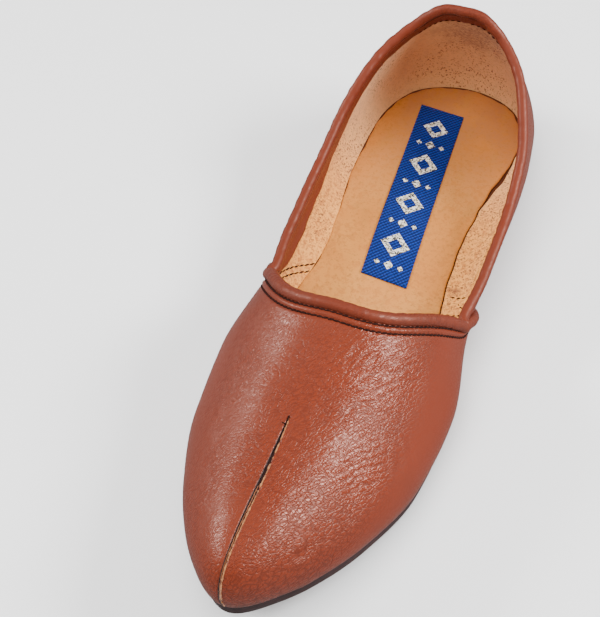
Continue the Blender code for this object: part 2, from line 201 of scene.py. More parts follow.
print("width at the ball in mm", round(float(2 * half_width(0.38)) / MM, 1))

# %% [markdown]
# Two charts cover the leather. The vamp's runs from the toe to a line under the corner of the throat, and
# the quarter's from there to the heel. In both, v climbs from the sole to the upper edge.
# %% The two charts of the surface


def dome(x, along):
    across = np.clip(np.abs(x) / np.maximum(half_width(along), 1e-6), 0, 1)
    return ridge(along) * np.clip(1 - across**2, 0, 1) ** (1 / DOME_POWER)


def corner():
    rise = (CORNER_HEIGHT / ridge(CORNER)) ** DOME_POWER
    return float(half_width(CORNER) * (1 - rise) ** 0.5)


def throat(u):
    swing = THROAT_SWING * np.pi
    x = corner() * np.sin(swing * u) / np.sin(swing)
    along = THROAT + (CORNER - THROAT) * (x / corner()) ** THROAT_POWER
    return x, (along - 0.5) * LENGTH


def place(x, y, height, around, side):
    nx, ny = outline_normal(around)
    drawn = draw_in(share(around)) * np.clip(1 - height / TUCK_HEIGHT, 0, 1) ** 2 - side
    x = x - nx * drawn
    y = y - ny * drawn
    return np.stack([x, y, bed(y) + height], axis=-1)


def vamp_chart(u, v):
    around = u * turn(CORNER_FOOT)
    foot_x, foot_y = outline(around)
    top_x, top_y = throat(u)
    across = 1 - np.cos(v * np.pi / 2)
    x = foot_x + (top_x - foot_x) * across
    y = foot_y + (top_y - foot_y) * across
    return place(x, y, dome(x, share_of(y)), around, 0.0)


def quarter_chart(u, v):
    foot = turn(CORNER_FOOT)
    start = turn(CORNER)
    around = foot + (1 - foot) * u
    foot_x, foot_y = outline(around)
    over = start + (1 - start) * u
    top_x, top_y = outline(over)
    nx, ny = outline_normal(over)
    lean = HALF_BALL * smooth(COLLAR_ROWS[:, 0], COLLAR_ROWS[:, 2], u)
    top_x = top_x - nx * lean
    top_y = top_y - ny * lean
    first_x, first_y = outline(np.array(start))
    first_nx, first_ny = outline_normal(np.array(start))
    first_lean = HALF_BALL * COLLAR_ROWS[0, 2]
    pull = np.clip(1 - u / CORNER_PULL, 0, 1) ** 2
    top_x = top_x + (corner() - first_x + first_nx * first_lean) * pull
    top_y = top_y + ((CORNER - 0.5) * LENGTH - first_y + first_ny * first_lean) * pull
    rise = smooth(COLLAR_ROWS[:, 0], COLLAR_ROWS[:, 1], u)
    top = CORNER_HEIGHT + (HEEL_HEIGHT - CORNER_HEIGHT) * rise
    across = 1 - np.cos(v * np.pi / 2)
    edge_x, edge_y = outline(np.array(foot))
    edge_x = edge_x + (corner() - edge_x) * across
    edge_y = edge_y + ((CORNER - 0.5) * LENGTH - edge_y) * across
    edge_height = dome(edge_x, share_of(edge_y)) / CORNER_HEIGHT
    own = ease(u / BLEND)
    way = across * (1 - own) + v**QUARTER_POWER * own
    height = top * (edge_height * (1 - own) + v * own)
    x = foot_x + (top_x - foot_x) * way
    y = foot_y + (top_y - foot_y) * way
    return place(x, y, height, around, BELLY * own * np.sin(np.pi * v))


def skin(w, v):
    """Both charts in one: w runs from 0 at the toe over 1 at the corner to 2 at the heel."""
    w, v = np.broadcast_arrays(np.asarray(w, float), np.asarray(v, float))
    front = vamp_chart(np.clip(w, 0, 1), v)
    rear = quarter_chart(np.clip(w - 1, 0, 1), v)
    return np.where((w <= 1)[..., None], front, rear)


def skin_normal(w, v):
    """Outward direction, taken within one chart and averaged where the two meet."""
    reach = 0.004
    w, v = np.broadcast_arrays(np.asarray(w, float), np.asarray(v, float))
    v_up, v_down = np.clip(v + reach, 0, 1), np.clip(v - reach, 0, 1)
    sides = []
    for chart, u in ((vamp_chart, np.clip(w, 0, 1)), (quarter_chart, np.clip(w - 1, 0, 1))):
        along = chart(np.clip(u + reach, 0, 1), v) - chart(np.clip(u - reach, 0, 1), v)
        sides.append(unit(np.cross(along, chart(u, v_up) - chart(u, v_down))))
    rear = np.clip((w - 0.97) / 0.06, 0, 1)[..., None]
    out = sides[0] * (1 - rear) + sides[1] * rear
    out[..., 0] = np.where((w <= 0) | (w >= 2), 0.0, out[..., 0])
    return unit(out)


def lap_reach():
    start = turn(CORNER_FOOT)
    return 1 + float((turn(LAP_FOOT) - start) / (1 - start))


print("back of the collar in mm", np.round(skin(2.0, 1.0) / MM, 1))

# %% [markdown]
# Every leather piece is a sheet, so one helper lays a grid of faces over a table of points and another
# joins the two halves of the shoe along its middle plane. The grid comes from the mesh operator, and only
# its corners are moved, so the faces stay square and even.
# %% Helpers that lay a sheet


def lay_grid(bm, points, out=None, closed=False):
    """Adds a grid whose corners lie on the points, columns by rows, its middle face turned outwards."""
    points = np.asarray(points, float)
    columns, rows = points.shape[:2]
    made = bmesh.ops.create_grid(bm, x_segments=columns - 1, y_segments=rows - 1, size=1)["verts"]
    for vert in made:
        i = round((vert.co.x + 1) / 2 * (columns - 1))
        j = round((vert.co.y + 1) / 2 * (rows - 1))
        vert.co = points[i, j]
    faces = list({face for vert in made for face in vert.link_faces})
    if closed:
        bmesh.ops.remove_doubles(bm, verts=made, dist=0.01 * MM)
        faces = [face for face in faces if face.is_valid]
    if out is not None:
        bm.normal_update()
        middle = points[columns // 2, rows // 2]
        near = min(faces, key=lambda face: (face.calc_center_median() - Vector(middle)).length)
        if near.normal.dot(Vector(out)) < 0:
            bmesh.ops.reverse_faces(bm, faces=faces)


def other_side(points):
    """The same points on the shoe's other side."""
    return points * np.array([-1.0, 1.0, 1.0])


def on_side(points, side):
    """Points of the right half as they are, or mirrored for the left one."""
    return points if side > 0 else other_side(points)


def walked_along(points):
    """Distance walked from the first point to each of them."""
    steps = np.linalg.norm(np.diff(points, axis=0), axis=1)
    return np.concatenate([[0], np.cumsum(steps)])


def join_middle(bm, within=0.02 * MM):
    """Joins the corners of both halves that lie on the middle plane."""
    middle = [vert for vert in bm.verts if abs(vert.co.x) < within]
    bmesh.ops.remove_doubles(bm, verts=middle, dist=within)


def to_object(name, bm, looks, smooth_shade=True, sharp=None):
    """Turns the bmesh into an object that carries the given materials."""
    mesh = bpy.data.meshes.new(name)
    bm.to_mesh(mesh)
    bm.free()
    made = bpy.data.objects.new(name, mesh)
    bpy.context.scene.collection.objects.link(made)
    for look in looks:
        mesh.materials.append(look)
    if smooth_shade:
        mesh.shade_smooth()
    if sharp is not None:
        mesh.set_sharp_from_angle(angle=math.radians(sharp))
    return made


def thicken(made, thickness, rim=0, inside=0):
    """Gives a sheet its thickness, inwards from the outer face."""
    wall = made.modifiers.new("thickness", "SOLIDIFY")
    wall.thickness = thickness
    wall.offset = -1
    wall.use_even_offset = False
    wall.material_offset = inside
    wall.material_offset_rim = rim


def place_piece(made, node_name):
    """Hangs the piece under the root and hides the part of the model that it stands for."""
    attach(made, "root")
    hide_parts(node_name)
    corners = len(made.data.vertices) if made.type == "MESH" else 0
    print(made.name, "corners", corners)


# %% [markdown]
# The colours are mixed from nodes. Each material takes its grain from the object's own coordinates, so
# nothing swims when the camera moves.
# %% Helpers for materials


def new_look(name, color, roughness):
    look = bpy.data.materials.new(name)
    look.use_nodes = True
    look.diffuse_color = (*color, 1)
    tree = look.node_tree
    shader = tree.nodes["Principled BSDF"]
    shader.inputs["Base Color"].default_value = (*color, 1)
    shader.inputs["Roughness"].default_value = roughness
    return look, tree, shader


def node(tree, kind, inputs=None, **settings):
    """Adds a node, with values or links for its inputs."""
    made = tree.nodes.new(kind)
    for key, value in settings.items():
        setattr(made, key, value)
    for key, value in (inputs or {}).items():
        if isinstance(value, bpy.types.NodeSocket):
            tree.links.new(value, made.inputs[key])
        else:
            made.inputs[key].default_value = value
    return made


def maths(tree, operation, first, second=None):
    inputs = {0: first} if second is None else {0: first, 1: second}
    return node(tree, "ShaderNodeMath", inputs, operation=operation).outputs[0]


def remap(tree, value, low, high, out_low=0.0, out_high=1.0):
    inputs = {"Value": value, "From Min": low, "From Max": high, "To Min": out_low, "To Max": out_high}
    return node(tree, "ShaderNodeMapRange", inputs, interpolation_type="SMOOTHSTEP").outputs["Result"]


def blend_colors(tree, factor, first, second):
    ends = [value if isinstance(value, bpy.types.NodeSocket) else (*value, 1) for value in (first, second)]
    inputs = {0: factor, 6: ends[0], 7: ends[1]}
    return node(tree, "ShaderNodeMix", inputs, data_type="RGBA").outputs[2]


def shade(color, red, green=None, blue=None):
    """The colour with its parts multiplied, all by the first number where it stands alone."""
    shares = (red, red if green is None else green, red if blue is None else blue)
    return tuple(min(1, part * each) for part, each in zip(color, shares))


def object_place(tree, scale=(1, 1, 1), turned=0.0):
    """The object's own coordinates, stretched and turned about the upright axis."""
    settings = {"Vector": node(tree, "ShaderNodeTexCoord").outputs["Object"]}
    settings.update({"Scale": scale, "Rotation": (0, 0, turned)})
    return node(tree, "ShaderNodeMapping", settings).outputs["Vector"]


def laid_at(tree, vector, angle, scale=(1, 1, 1)):
    """Coordinates whose pattern is first stretched and then turned, so the stretch follows the turn."""
    settings = {"Vector": vector, "Rotation": (0, 0, math.radians(angle)), "Scale": scale}
    return node(tree, "ShaderNodeMapping", settings, vector_type="TEXTURE").outputs["Vector"]


def part_of(tree, vector, axis):
    return node(tree, "ShaderNodeSeparateXYZ", {0: vector}).outputs[axis]


def distance_to(tree, vector, spot):
    return node(tree, "ShaderNodeVectorMath", {0: vector, 1: spot}, operation="DISTANCE").outputs["Value"]


def noise(tree, vector, scale, detail=2.0, rough=0.5):
    inputs = {"Vector": vector, "Scale": scale, "Detail": detail, "Roughness": rough}
    return node(tree, "ShaderNodeTexNoise", inputs).outputs["Fac"]


def set_color(tree, shader, color):
    tree.links.new(color, shader.inputs["Base Color"])


def add_bump(tree, shader, height, strength, distance):
    bump = node(tree, "ShaderNodeBump", {"Height": height, "Strength": strength, "Distance": distance})
    tree.links.new(bump.outputs["Normal"], shader.inputs["Normal"])


# %% [markdown]
# Milled leather has a skin of tiny flat cells. Fine wrinkles run across the shoe, where the hide was pulled
# over the last. They are strongest on the instep and fade towards the sole, so the bump is scaled by
# height. The colour is darker in the furrows: painted shade in the creases.
# %% Leather


# Places on the shoe where long creases show, each with its reach
CREASED = (
    ((0.018, -0.042, 0.046), 0.019),
    ((-0.008, -0.112, 0.028), 0.011),
    ((0.022, -0.078, 0.036), 0.015),
)
# Two layers of cells: angle, stretch along and across, width of the furrow between cells
CELL_LAYERS = (
    (57, 3.4, 1.0, 0.2),
    (8, 2.8, 1.05, 0.15),
)
CREASE_PUSH = 0.0028


def crease_height(tree, plain):
    """Height of the grain: two layers of cells, long creases near three places and a fine roughness."""
    push = node(tree, "ShaderNodeTexNoise", {"Vector": plain, "Scale": 150.0, "Detail": 3.0}).outputs["Color"]
    reach = (CREASE_PUSH, CREASE_PUSH, CREASE_PUSH)
    push = node(tree, "ShaderNodeVectorMath", {0: push, 1: reach}, operation="MULTIPLY").outputs[0]
    bent = node(tree, "ShaderNodeVectorMath", {0: plain, 1: push}, operation="ADD").outputs[0]
    layers = []
    for angle, long, across, width in CELL_LAYERS:
        inputs = {"Vector": laid_at(tree, bent, angle, (long, across, 1.6)), "Scale": 1000.0}
        cells = node(tree, "ShaderNodeTexVoronoi", inputs, feature="DISTANCE_TO_EDGE")
        layers.append(remap(tree, cells.outputs["Distance"], 0.0, width))
    inputs = {"Vector": laid_at(tree, bent, 57), "Scale": 150.0, "Distortion": 5.0}
    inputs.update({"Detail": 2.0, "Detail Scale": 0.7})
    lines = node(tree, "ShaderNodeTexWave", inputs, bands_direction="Y").outputs["Fac"]
    coarse, close = maths(tree, "MULTIPLY", layers[0], 0.6), maths(tree, "MULTIPLY", layers[1], 0.36)
    height = maths(tree, "ADD", coarse, close)
    for spot, radius in CREASED:
        near = distance_to(tree, plain, spot)
        within = maths(tree, "MULTIPLY", remap(tree, near, radius * 1.3, radius * 0.5), 0.85)
        height = maths(tree, "ADD", height, maths(tree, "MULTIPLY", lines, within))
    return maths(tree, "ADD", height, maths(tree, "MULTIPLY", noise(tree, plain, 900.0, 2.0, 0.6), 0.05))


def leather(name, color, crease_shade_color, gloss, grain):
    look, tree, shader = new_look(name, color, gloss)
    plain = object_place(tree)
    height = crease_height(tree, plain)
    broad = noise(tree, plain, 24.0, 3.0, 0.55)
    forward = maths(tree, "MULTIPLY", part_of(tree, plain, "Y"), 0.2)
    rise = maths(tree, "SUBTRACT", part_of(tree, plain, "Z"), forward)
    calm = remap(tree, rise, 0.037, 0.050, 0.08, 1.0)
    patch = maths(tree, "MULTIPLY", remap(tree, broad, 0.36, 0.6, 0.45, 1.0), calm)
    add_bump(tree, shader, maths(tree, "MULTIPLY", height, patch), grain, 0.00014)
    base = blend_colors(tree, remap(tree, broad, 0.35, 0.65), color, shade(color, 1.12, 1.02, 0.92))
    # The furrows darken the colour: painted shade in the creases.
    furrow = remap(tree, height, 0.95, 0.2)
    painted_crease_shade = maths(tree, "MULTIPLY", furrow, maths(tree, "MULTIPLY", patch, 0.55))
    set_color(tree, shader, blend_colors(tree, painted_crease_shade, base, crease_shade_color))
    tree.links.new(remap(tree, height, 0.3, 1.2, gloss + 0.14, gloss), shader.inputs["Roughness"])
    shader.inputs["Specular IOR Level"].default_value = 0.55
    shader.inputs["Specular Tint"].default_value = (1.0, 0.62, 0.52, 1)
    return look


# The second colour of each leather is the painted shade in its creases.
vamp_leather = leather("terracotta leather", (0.146, 0.0250, 0.0108), (0.06, 0.009, 0.004), 0.26, 0.95)
# The rolled edge leather is a darker copy of the terracotta leather: painted shade on the rolls and on the
# band turned in under the collar.
rolled_leather = leather("rolled edge leather", (0.125, 0.0215, 0.0095), (0.06, 0.010, 0.005), 0.40, 0.4)

# %% [markdown]
# The flesh side of the hide is raw suede: short pale fibres, dark specks of dye, and a mottled brown patch
# where the heel rubs, with a small spot of dye on the right near the throat. Towards the heel the suede is
# paler: painted light on the heel wall. The board below is pressed fibre, with painted shade that darkens it
# towards the heel and under the vamp.
# %% Lining, board, sole and thread


HEEL_RUB = (0.004, 0.132, 0.058)
DYE_SPOT = (0.0278, 0.0255, 0.0124)


def stain(tree, spot, radius, fuzz=0.5):
    """A mask that is highest at a place of the shoe and ends in a ragged border."""
    plain = object_place(tree)
    away = distance_to(tree, plain, spot)
    ragged = maths(tree, "MULTIPLY", noise(tree, plain, 160.0, 4.0, 0.65), fuzz * radius * 2)
    return remap(tree, maths(tree, "ADD", away, ragged), radius * 1.35, radius * 0.75)


def suede(name, color, speck, heel_rub_and_light=0.0, dye=None):
    look, tree, shader = new_look(name, color, 0.9)
    plain = object_place(tree)
    fibres = noise(tree, plain, 900.0, 3.0, 0.65)
    patches = noise(tree, plain, 40.0, 4.0, 0.6)
    dots = noise(tree, plain, 1150.0, 2.0, 0.6)
    flecks = noise(tree, plain, 620.0, 3.0, 0.7)
    where = remap(tree, noise(tree, plain, 34.0, 2.0, 0.5), 0.4, 0.6, 0.2, 1.0)
    tone = blend_colors(tree, remap(tree, patches, 0.3, 0.7), color, shade(color, 0.9, 0.8, 0.7))
    tone = blend_colors(tree, remap(tree, flecks, 0.45, 0.6, 0.0, 0.85), tone, shade(color, 0.5, 0.34, 0.24))
    pale = blend_colors(tree, remap(tree, fibres, 0.35, 0.7, 0.0, 0.35), tone, shade(color, 1.35))
    dotted = maths(tree, "MULTIPLY", remap(tree, dots, 0.54, 0.66), where)
    result = blend_colors(tree, dotted, pale, speck)
    if heel_rub_and_light:
        # Paler towards the heel: painted light on the heel wall.
        heel = remap(tree, part_of(tree, plain, "Y"), 0.05, 0.115, 0.0, 0.75)
        heel_painted_light = maths(tree, "MULTIPLY", heel, maths(tree, "SUBTRACT", 1.0, dotted))
        result = blend_colors(tree, heel_painted_light, result, (0.74, 0.42, 0.20))
        rub = maths(tree, "MULTIPLY", stain(tree, HEEL_RUB, 0.03), heel_rub_and_light)
        rub = maths(tree, "MULTIPLY", rub, remap(tree, fibres, 0.3, 0.62, 0.35, 1.0))
        result = blend_colors(tree, rub, result, (0.26, 0.105, 0.045))
    if dye is not None:
        dyed = maths(tree, "MULTIPLY", stain(tree, dye, 0.010, 0.9), 0.85)
        result = blend_colors(tree, dyed, result, (0.16, 0.045, 0.018))
    set_color(tree, shader, result)
    add_bump(tree, shader, fibres, 0.6, 0.0004)
    shader.inputs["Sheen Weight"].default_value = 0.15
    shader.inputs["Sheen Roughness"].default_value = 0.6
    return look


lining_suede = suede("tan lining suede", (0.77, 0.325, 0.066), (0.10, 0.03, 0.01), 0.75, DYE_SPOT)
raw_edge = suede("raw leather edge", (0.36, 0.145, 0.048), (0.12, 0.04, 0.015))
worn_strand = suede("worn inner leather", (0.22, 0.075, 0.028), (0.06, 0.02, 0.01))
# A dark copy of the raw cut edge: painted shade on the cut edges, seen mostly on the left side of the slit.
shaded_cut_edge = suede("cut edge in painted shade", (0.05, 0.012, 0.006), (0.02, 0.005, 0.003))


def pressed_board(name, color, heel_shade_color):
    look, tree, shader = new_look(name, color, 0.72)
    plain = object_place(tree)
    lengthways = part_of(tree, plain, "Y")
    specks = noise(tree, plain, 800.0, 2.0, 0.6)
    smears = noise(tree, object_place(tree, (1.6, 0.7, 1)), 70.0, 4.0, 0.65)
    clouds = noise(tree, plain, 26.0, 3.0, 0.6)
    grit = noise(tree, plain, 420.0, 3.0, 0.7)
    # Darker towards the heel and, at the front, under the vamp: painted shade.
    base = blend_colors(tree, remap(tree, lengthways, 0.03, 0.125), color, heel_shade_color)
    front = remap(tree, lengthways, 0.035, -0.01, 0.0, 0.8)
    base = blend_colors(tree, front, base, shade(color, 0.80, 0.80, 0.86))
    base = blend_colors(tree, remap(tree, clouds, 0.42, 0.66, 0.0, 0.8), base, shade(color, 0.86, 0.74, 0.6))
    base = blend_colors(tree, remap(tree, smears, 0.5, 0.68, 0.0, 0.5), base, shade(color, 0.7))
    base = blend_colors(tree, remap(tree, grit, 0.47, 0.62, 0.0, 0.55), base, shade(color, 0.72, 0.6, 0.5))
    base = blend_colors(tree, remap(tree, specks, 0.55, 0.7, 0.0, 0.5), base, shade(color, 0.5))
    set_color(tree, shader, base)
    add_bump(tree, shader, specks, 0.25, 0.0003)
    return look


board_look = pressed_board("tan insole board", (0.58, 0.232, 0.044), (0.36, 0.13, 0.040))


def sole_leather(name, color):
    look, tree, shader = new_look(name, color, 0.5)
    layers = noise(tree, object_place(tree, (1, 1, 6)), 260.0, 3.0, 0.6)
    clouds = noise(tree, object_place(tree), 60.0, 3.0, 0.6)
    set_color(tree, shader, blend_colors(tree, remap(tree, clouds, 0.3, 0.7), color, shade(color, 1.5)))
    tree.links.new(remap(tree, layers, 0.3, 0.7, 0.42, 0.6), shader.inputs["Roughness"])
    add_bump(tree, shader, layers, 0.4, 0.0003)
    return look


sole_look = sole_leather("dark sole leather", (0.026, 0.0082, 0.0082))
heel_look = sole_leather("dark heel leather", (0.02, 0.007, 0.007))
glue_shade_look = sole_leather("brown glue_and_shade line", (0.05, 0.012, 0.004))


def thread(name, color, roughness):
    """Waxed thread: two plies show as a slanted stripe in the bump."""
    look, tree, shader = new_look(name, color, roughness)
    slanted = object_place(tree, turned=math.radians(40))
    plies = node(tree, "ShaderNodeTexWave", {"Vector": slanted, "Scale": 500.0, "Distortion": 2.0})
    fluff = noise(tree, object_place(tree), 1500.0, 2.0, 0.6)
    set_color(tree, shader, blend_colors(tree, remap(tree, fluff, 0.4, 0.7), color, shade(color, 2.2)))
    add_bump(tree, shader, plies.outputs["Fac"], 0.4, 0.0002)
    shader.inputs["Specular IOR Level"].default_value = 0.12
    return look


dark_thread = thread("dark brown thread", (0.014, 0.0035, 0.0025), 0.7)
shadow_look = sole_leather("painted shade under the slit", (0.02, 0.007, 0.006))
print("materials", len(bpy.data.materials))

# %% [markdown]
# The wall that the foot feels is one layer from toe to heel. Its face shows only on the quarter, its back
# is the raw lining, and under the slit its face is a dark material: painted shade inside the cut.
# %% The quarter and its lining


def wall_points(side, columns=170, rows=44):
    w = np.concatenate([np.linspace(0, 1, columns // 2)[:-1], np.linspace(1, 2, columns // 2)])
    v = np.linspace(0, 1, rows)
    w, v = np.meshgrid(w, v, indexing="ij")
    points = skin(w, v)
    points[..., 2] = np.maximum(points[..., 2], bed(points[..., 1]) + 0.1 * MM)
    points[(w <= 0) | (w >= 2), 0] = 0.0
    return on_side(points, side)


SLIT_SHADE_UNTIL = 0.4


bm = bmesh.new()
for side in (1, -1):
    lay_grid(bm, wall_points(side), out=(side, 0, 0))
join_middle(bm)
# Faces under the slit take the dark material: painted shade inside the cut.
for face in bm.faces:
    if share_of(face.calc_center_median().y) < SLIT_SHADE_UNTIL:
        face.material_index = 1
quarter_looks = [vamp_leather, shadow_look, lining_suede, lining_suede, shaded_cut_edge, shaded_cut_edge]
quarter = to_object("quarter", bm, quarter_looks)
thicken(quarter, WALL, rim=4, inside=2)
place_piece(quarter, "upper")

# %% [markdown]
# The vamp is a second layer over the front. Its rows are measured from its own cut edge, since the seams
# follow that edge down both sides to the sole.
# %% The vamp's edge and its chart


def vamp_edge(count=900):
    """The edge from the middle of the throat over the corner down to the sole, in the chart."""
    over = np.linspace(0, 1, count)
    down = np.linspace(1, 0, count // 2)[1:]
    w = np.concatenate([over, 1 + (lap_reach() - 1) * (1 - down ** (1 / LAP_POWER))])
    return w, np.concatenate([np.ones(count), down])


def vamp_lines(columns):
    """Lines that leave the edge and end at the sole: chart places, distance walked, place along the edge."""
    w, v = vamp_edge()
    along = walked_along(skin(w, v))
    corner_at = float(along[np.argmax(w >= 1)])
    at = np.linspace(0, along[-1], columns)
    edge_w, edge_v = np.interp(at, along, w), np.interp(at, along, v)
    half_way = 0.55 * corner_at
    near = float(np.interp(half_way, along, w))
    knots = np.array([0, half_way, corner_at, along[-1]])
    foot_w = smooth(knots, np.array([0, near * 0.97, 0.93, 1.055]), at)
    t = np.linspace(0, 1, 160)
    fine_w = edge_w[:, None] + (foot_w - edge_w)[:, None] * t
    fine_v = edge_v[:, None] * (1 - t)
    steps = np.linalg.norm(np.diff(skin(fine_w, fine_v), axis=1), axis=2)
    walked = np.concatenate([np.zeros((columns, 1)), np.cumsum(steps, axis=1)], axis=1)
    return fine_w, fine_v, walked, at


CLOSE_ROWS_TO = 7 * MM


def vamp_chart_rows(columns, first_rows, more_rows):
    """Rows at set distances from the edge, close together in the strip that carries the seams."""
    fine_w, fine_v, walked, _ = vamp_lines(columns)
    out_w, out_v, away = [], [], []
    for i in range(columns):
        length = walked[i, -1]
        near_rows = np.linspace(0, CLOSE_ROWS_TO, first_rows) * min(1.0, length / 16 / MM)
        far_rows = np.linspace(near_rows[-1], length, more_rows + 1)[1:]
        distance = np.concatenate([near_rows, far_rows])
        out_w.append(np.interp(distance, walked[i], fine_w[i]))
        out_v.append(np.interp(distance, walked[i], fine_v[i]))
        away.append(distance)
    return np.array(out_w), np.array(out_v), np.array(away)


chart_w, chart_v, from_edge = vamp_chart_rows(170, 17, 92)
print("corners of half the vamp", chart_w.size, "longest line in mm", round(float(from_edge.max()) / MM, 1))

# %% [markdown]
# The leather is not even. The seams pull it down in two troughs along the edge and the strip between swells
# a little. The wrinkles below were placed one by one: start and end on the shoe in millimetres, depth and
# width.
# %% Seams, swells and wrinkles of the vamp

SEAM_ROWS = (0.9 * MM, 3.7 * MM)
SLIT_WIDTH = 2.1 * MM
SLIT_NARROW_TO = 0.16
SLIT_POWER = 0.35
VAMP_THICKNESS = 0.92 * MM
SEAM_STRIP = 5.5 * MM
WRINKLE_BOW = 0.08
WRINKLE_FADE = 0.35
# Columns: distance from the edge, lift of the leather there, reach
EDGE_WAVES = np.array([
    (-0.2, -0.45, 0.8),
    (0.9, -0.30, 0.5),
    (3.7, -0.42, 0.65),
    (2.3, 0.30, 0.8),
]) * MM
# Columns: start x, start y, end x, end y, depth, width
WRINKLES = np.array([
    (10.5, -50.6, 18.6, -34.8, 0.24, 1.0),
    (13.5, -49.7, 23.4, -32.3, 0.28, 0.95),
    (16.8, -50.9, 27.2, -30.2, 0.26, 1.05),
    (21.5, -50.0, 29.5, -29.0, 0.20, 1.0),
    (5.1, -47.8, 15.2, -35.5, 0.12, 1.0),
    (-2.3, -47.2, 9.2, -38.1, 0.10, 1.0),
    (-26.5, -36.9, -18.4, -36.9, 0.14, 1.0),
    (-23.3, -41.8, -8.5, -41.1, 0.10, 1.2),
    (-13.3, -48.7, -1.1, -48.9, 0.12, 1.1),
    (-13.4, -57.4, -2.5, -58.0, 0.10, 1.2),
    (5.2, -60.5, 14.6, -53.7, 0.20, 1.1),
    (7.6, -65.0, 19.6, -55.0, 0.24, 1.0),
    (15.4, -68.8, 25.6, -53.5, 0.20, 1.0),
    (9.0, -77.5, 19.3, -69.4, 0.12, 1.2),
    (16.1, -80.2, 25.1, -67.9, 0.14, 1.1),
    (7.8, -89.8, 17.2, -83.8, 0.10, 1.2),
    (10.8, -94.5, 21.7, -81.7, 0.12, 1.1),
    (9.2, -103.9, 17.4, -95.4, 0.10, 1.1),
    (12.8, -109.0, 19.7, -98.1, 0.12, 1.2),
    (21.2, -109.1, 16.0, -120.2, 0.20, 0.9),
    (22.4, -105.7, 17.1, -118.4, 0.14, 0.9),
    (20.3, -112.5, 15.2, -121.7, 0.16, 0.9),
    (-8.3, -110.0, -4.8, -101.7, 0.10, 1.0),
    (-8.5, -121.3, -2.5, -115.3, 0.12, 1.0),
    (-10.9, -98.5, -3.2, -91.4, 0.10, 1.0),
    (-13.0, -86.4, -3.8, -82.2, 0.08, 1.2),
    (-19.9, -70.2, -11.8, -69.7, 0.08, 1.2),
    (34.9, -56.7, 39.7, -63.2, 0.14, 1.2),
    (34.4, -61.0, 36.9, -73.7, 0.12, 1.2),
    (31.8, -25.8, 38.6, -17.1, 0.12, 1.4),
]) * MM
# Columns: x, y, height, reach across, reach along. Broad swells that bend the shine
SWELLS = np.array([
    (9.0, -112.0, 0.45, 3.5, 14.0),
    (16.0, -60.0, 0.35, 7.0, 16.0),
    (-14.0, -62.0, 0.30, 8.0, 14.0),
    (26.0, -86.0, -0.35, 5.0, 16.0),
    (-22.0, -88.0, -0.30, 6.0, 14.0),
    (33.0, -40.0, -0.35, 4.0, 12.0),
    (0.0, -47.0, 0.25, 12.0, 5.0),
]) * MM


def relief(points, away):
    """How far the leather stands above its even surface."""
    lift = 0.0
    for at, rise, reach in EDGE_WAVES:
        lift = lift + rise * np.exp(-((away - at) / reach) ** 2)
    plan = points[..., :2]
    for x0, y0, x1, y1, depth, width in WRINKLES:
        start, run = np.array([x0, y0]), np.array([x1 - x0, y1 - y0])
        reach = np.linalg.norm(run)
        step = (plan - start) @ run / reach**2
        bow = WRINKLE_BOW * reach * np.sin(np.pi * np.clip(step, 0, 1))
        off = (plan - start) @ np.array([-run[1], run[0]]) / reach - bow
        fade = ease(np.clip(np.minimum(step, 1 - step) / WRINKLE_FADE, 0, 1))
        fade = fade * ease((away - SEAM_STRIP) / (2 * MM))
        lift -= depth * fade * np.exp(-((off / width) ** 2))
        lift += 0.5 * depth * fade * np.exp(-(((np.abs(off) - 1.9 * width) / width) ** 2))
    for x, y, height, wide, long in SWELLS:
        lift += height * np.exp(-(((plan[..., 0] - x) / wide) ** 2) - ((plan[..., 1] - y) / long) ** 2)
    return lift


def slit_half(y):
    """Half width of the cut over the toe at a place along the shoe."""
    along = share_of(y)
    narrowed = 0.5 + 0.5 * ease(along / SLIT_NARROW_TO)
    return SLIT_WIDTH / 2 * np.clip(1 - along / SEAM_END, 0, 1) ** SLIT_POWER * narrowed


def vamp_face(w, v, away, side):
    """Places on the outer face of the vamp, and the outward direction there."""
    out, points = on_side(skin_normal(w, v), side), on_side(skin(w, v), side)
    points = points + out * (LAP + relief(points, away))[..., None]
    points[..., 2] = np.maximum(points[..., 2], bed(points[..., 1]) + 0.15 * MM)
    points[np.asarray(w) <= 0, 0] = 0.0
    points[..., 0] += side * slit_half(points[..., 1]) * np.exp(-np.abs(points[..., 0]) / (4 * MM))
    return points, out


bm = bmesh.new()
for side in (1, -1):
    points, _ = vamp_face(chart_w, chart_v, from_edge, side)
    lay_grid(bm, points, out=(side, 0, 0.5))
join_middle(bm)
vamp = to_object("vamp", bm, [vamp_leather, shaded_cut_edge, lining_suede])
thicken(vamp, VAMP_THICKNESS, rim=1, inside=2)
place_piece(vamp, "upper")

# %% [markdown]
# Both edges are rolled over a thin cord. The roll of the vamp starts at the sole, climbs the side and
# crosses the instep; the roll of the collar runs inside it round the heel.
# %% The rolled edges


def even(points, count):
    """The same path with its points spaced evenly; further columns come along."""
    length = walked_along(points[:, :3])
    at = np.linspace(0, length[-1], count)
    return np.stack([np.interp(at, length, column_of) for column_of in points.T], axis=1)


def soften(points, rounds):
    for _ in range(rounds):
        points[1:-1] = (points[:-2] + 2 * points[1:-1] + points[2:]) / 4
    return points


def bead_path(surface_points, out, inward, reach, rise):
    """Centre line beside an edge: reach along the leather, rise away from it."""
    tangent = unit(np.gradient(surface_points, axis=0))
    aside = unit(np.cross(out, tangent)) * inward
    return surface_points + aside * reach[:, None] + out * rise[:, None]


ROLL_START = 0.22
COLLAR_REACH = 0.93
COLLAR_SHARE = 0.9
THROAT_SHARE = 1.12
PLEATS = 14
ONCE_ROUND = 6.28


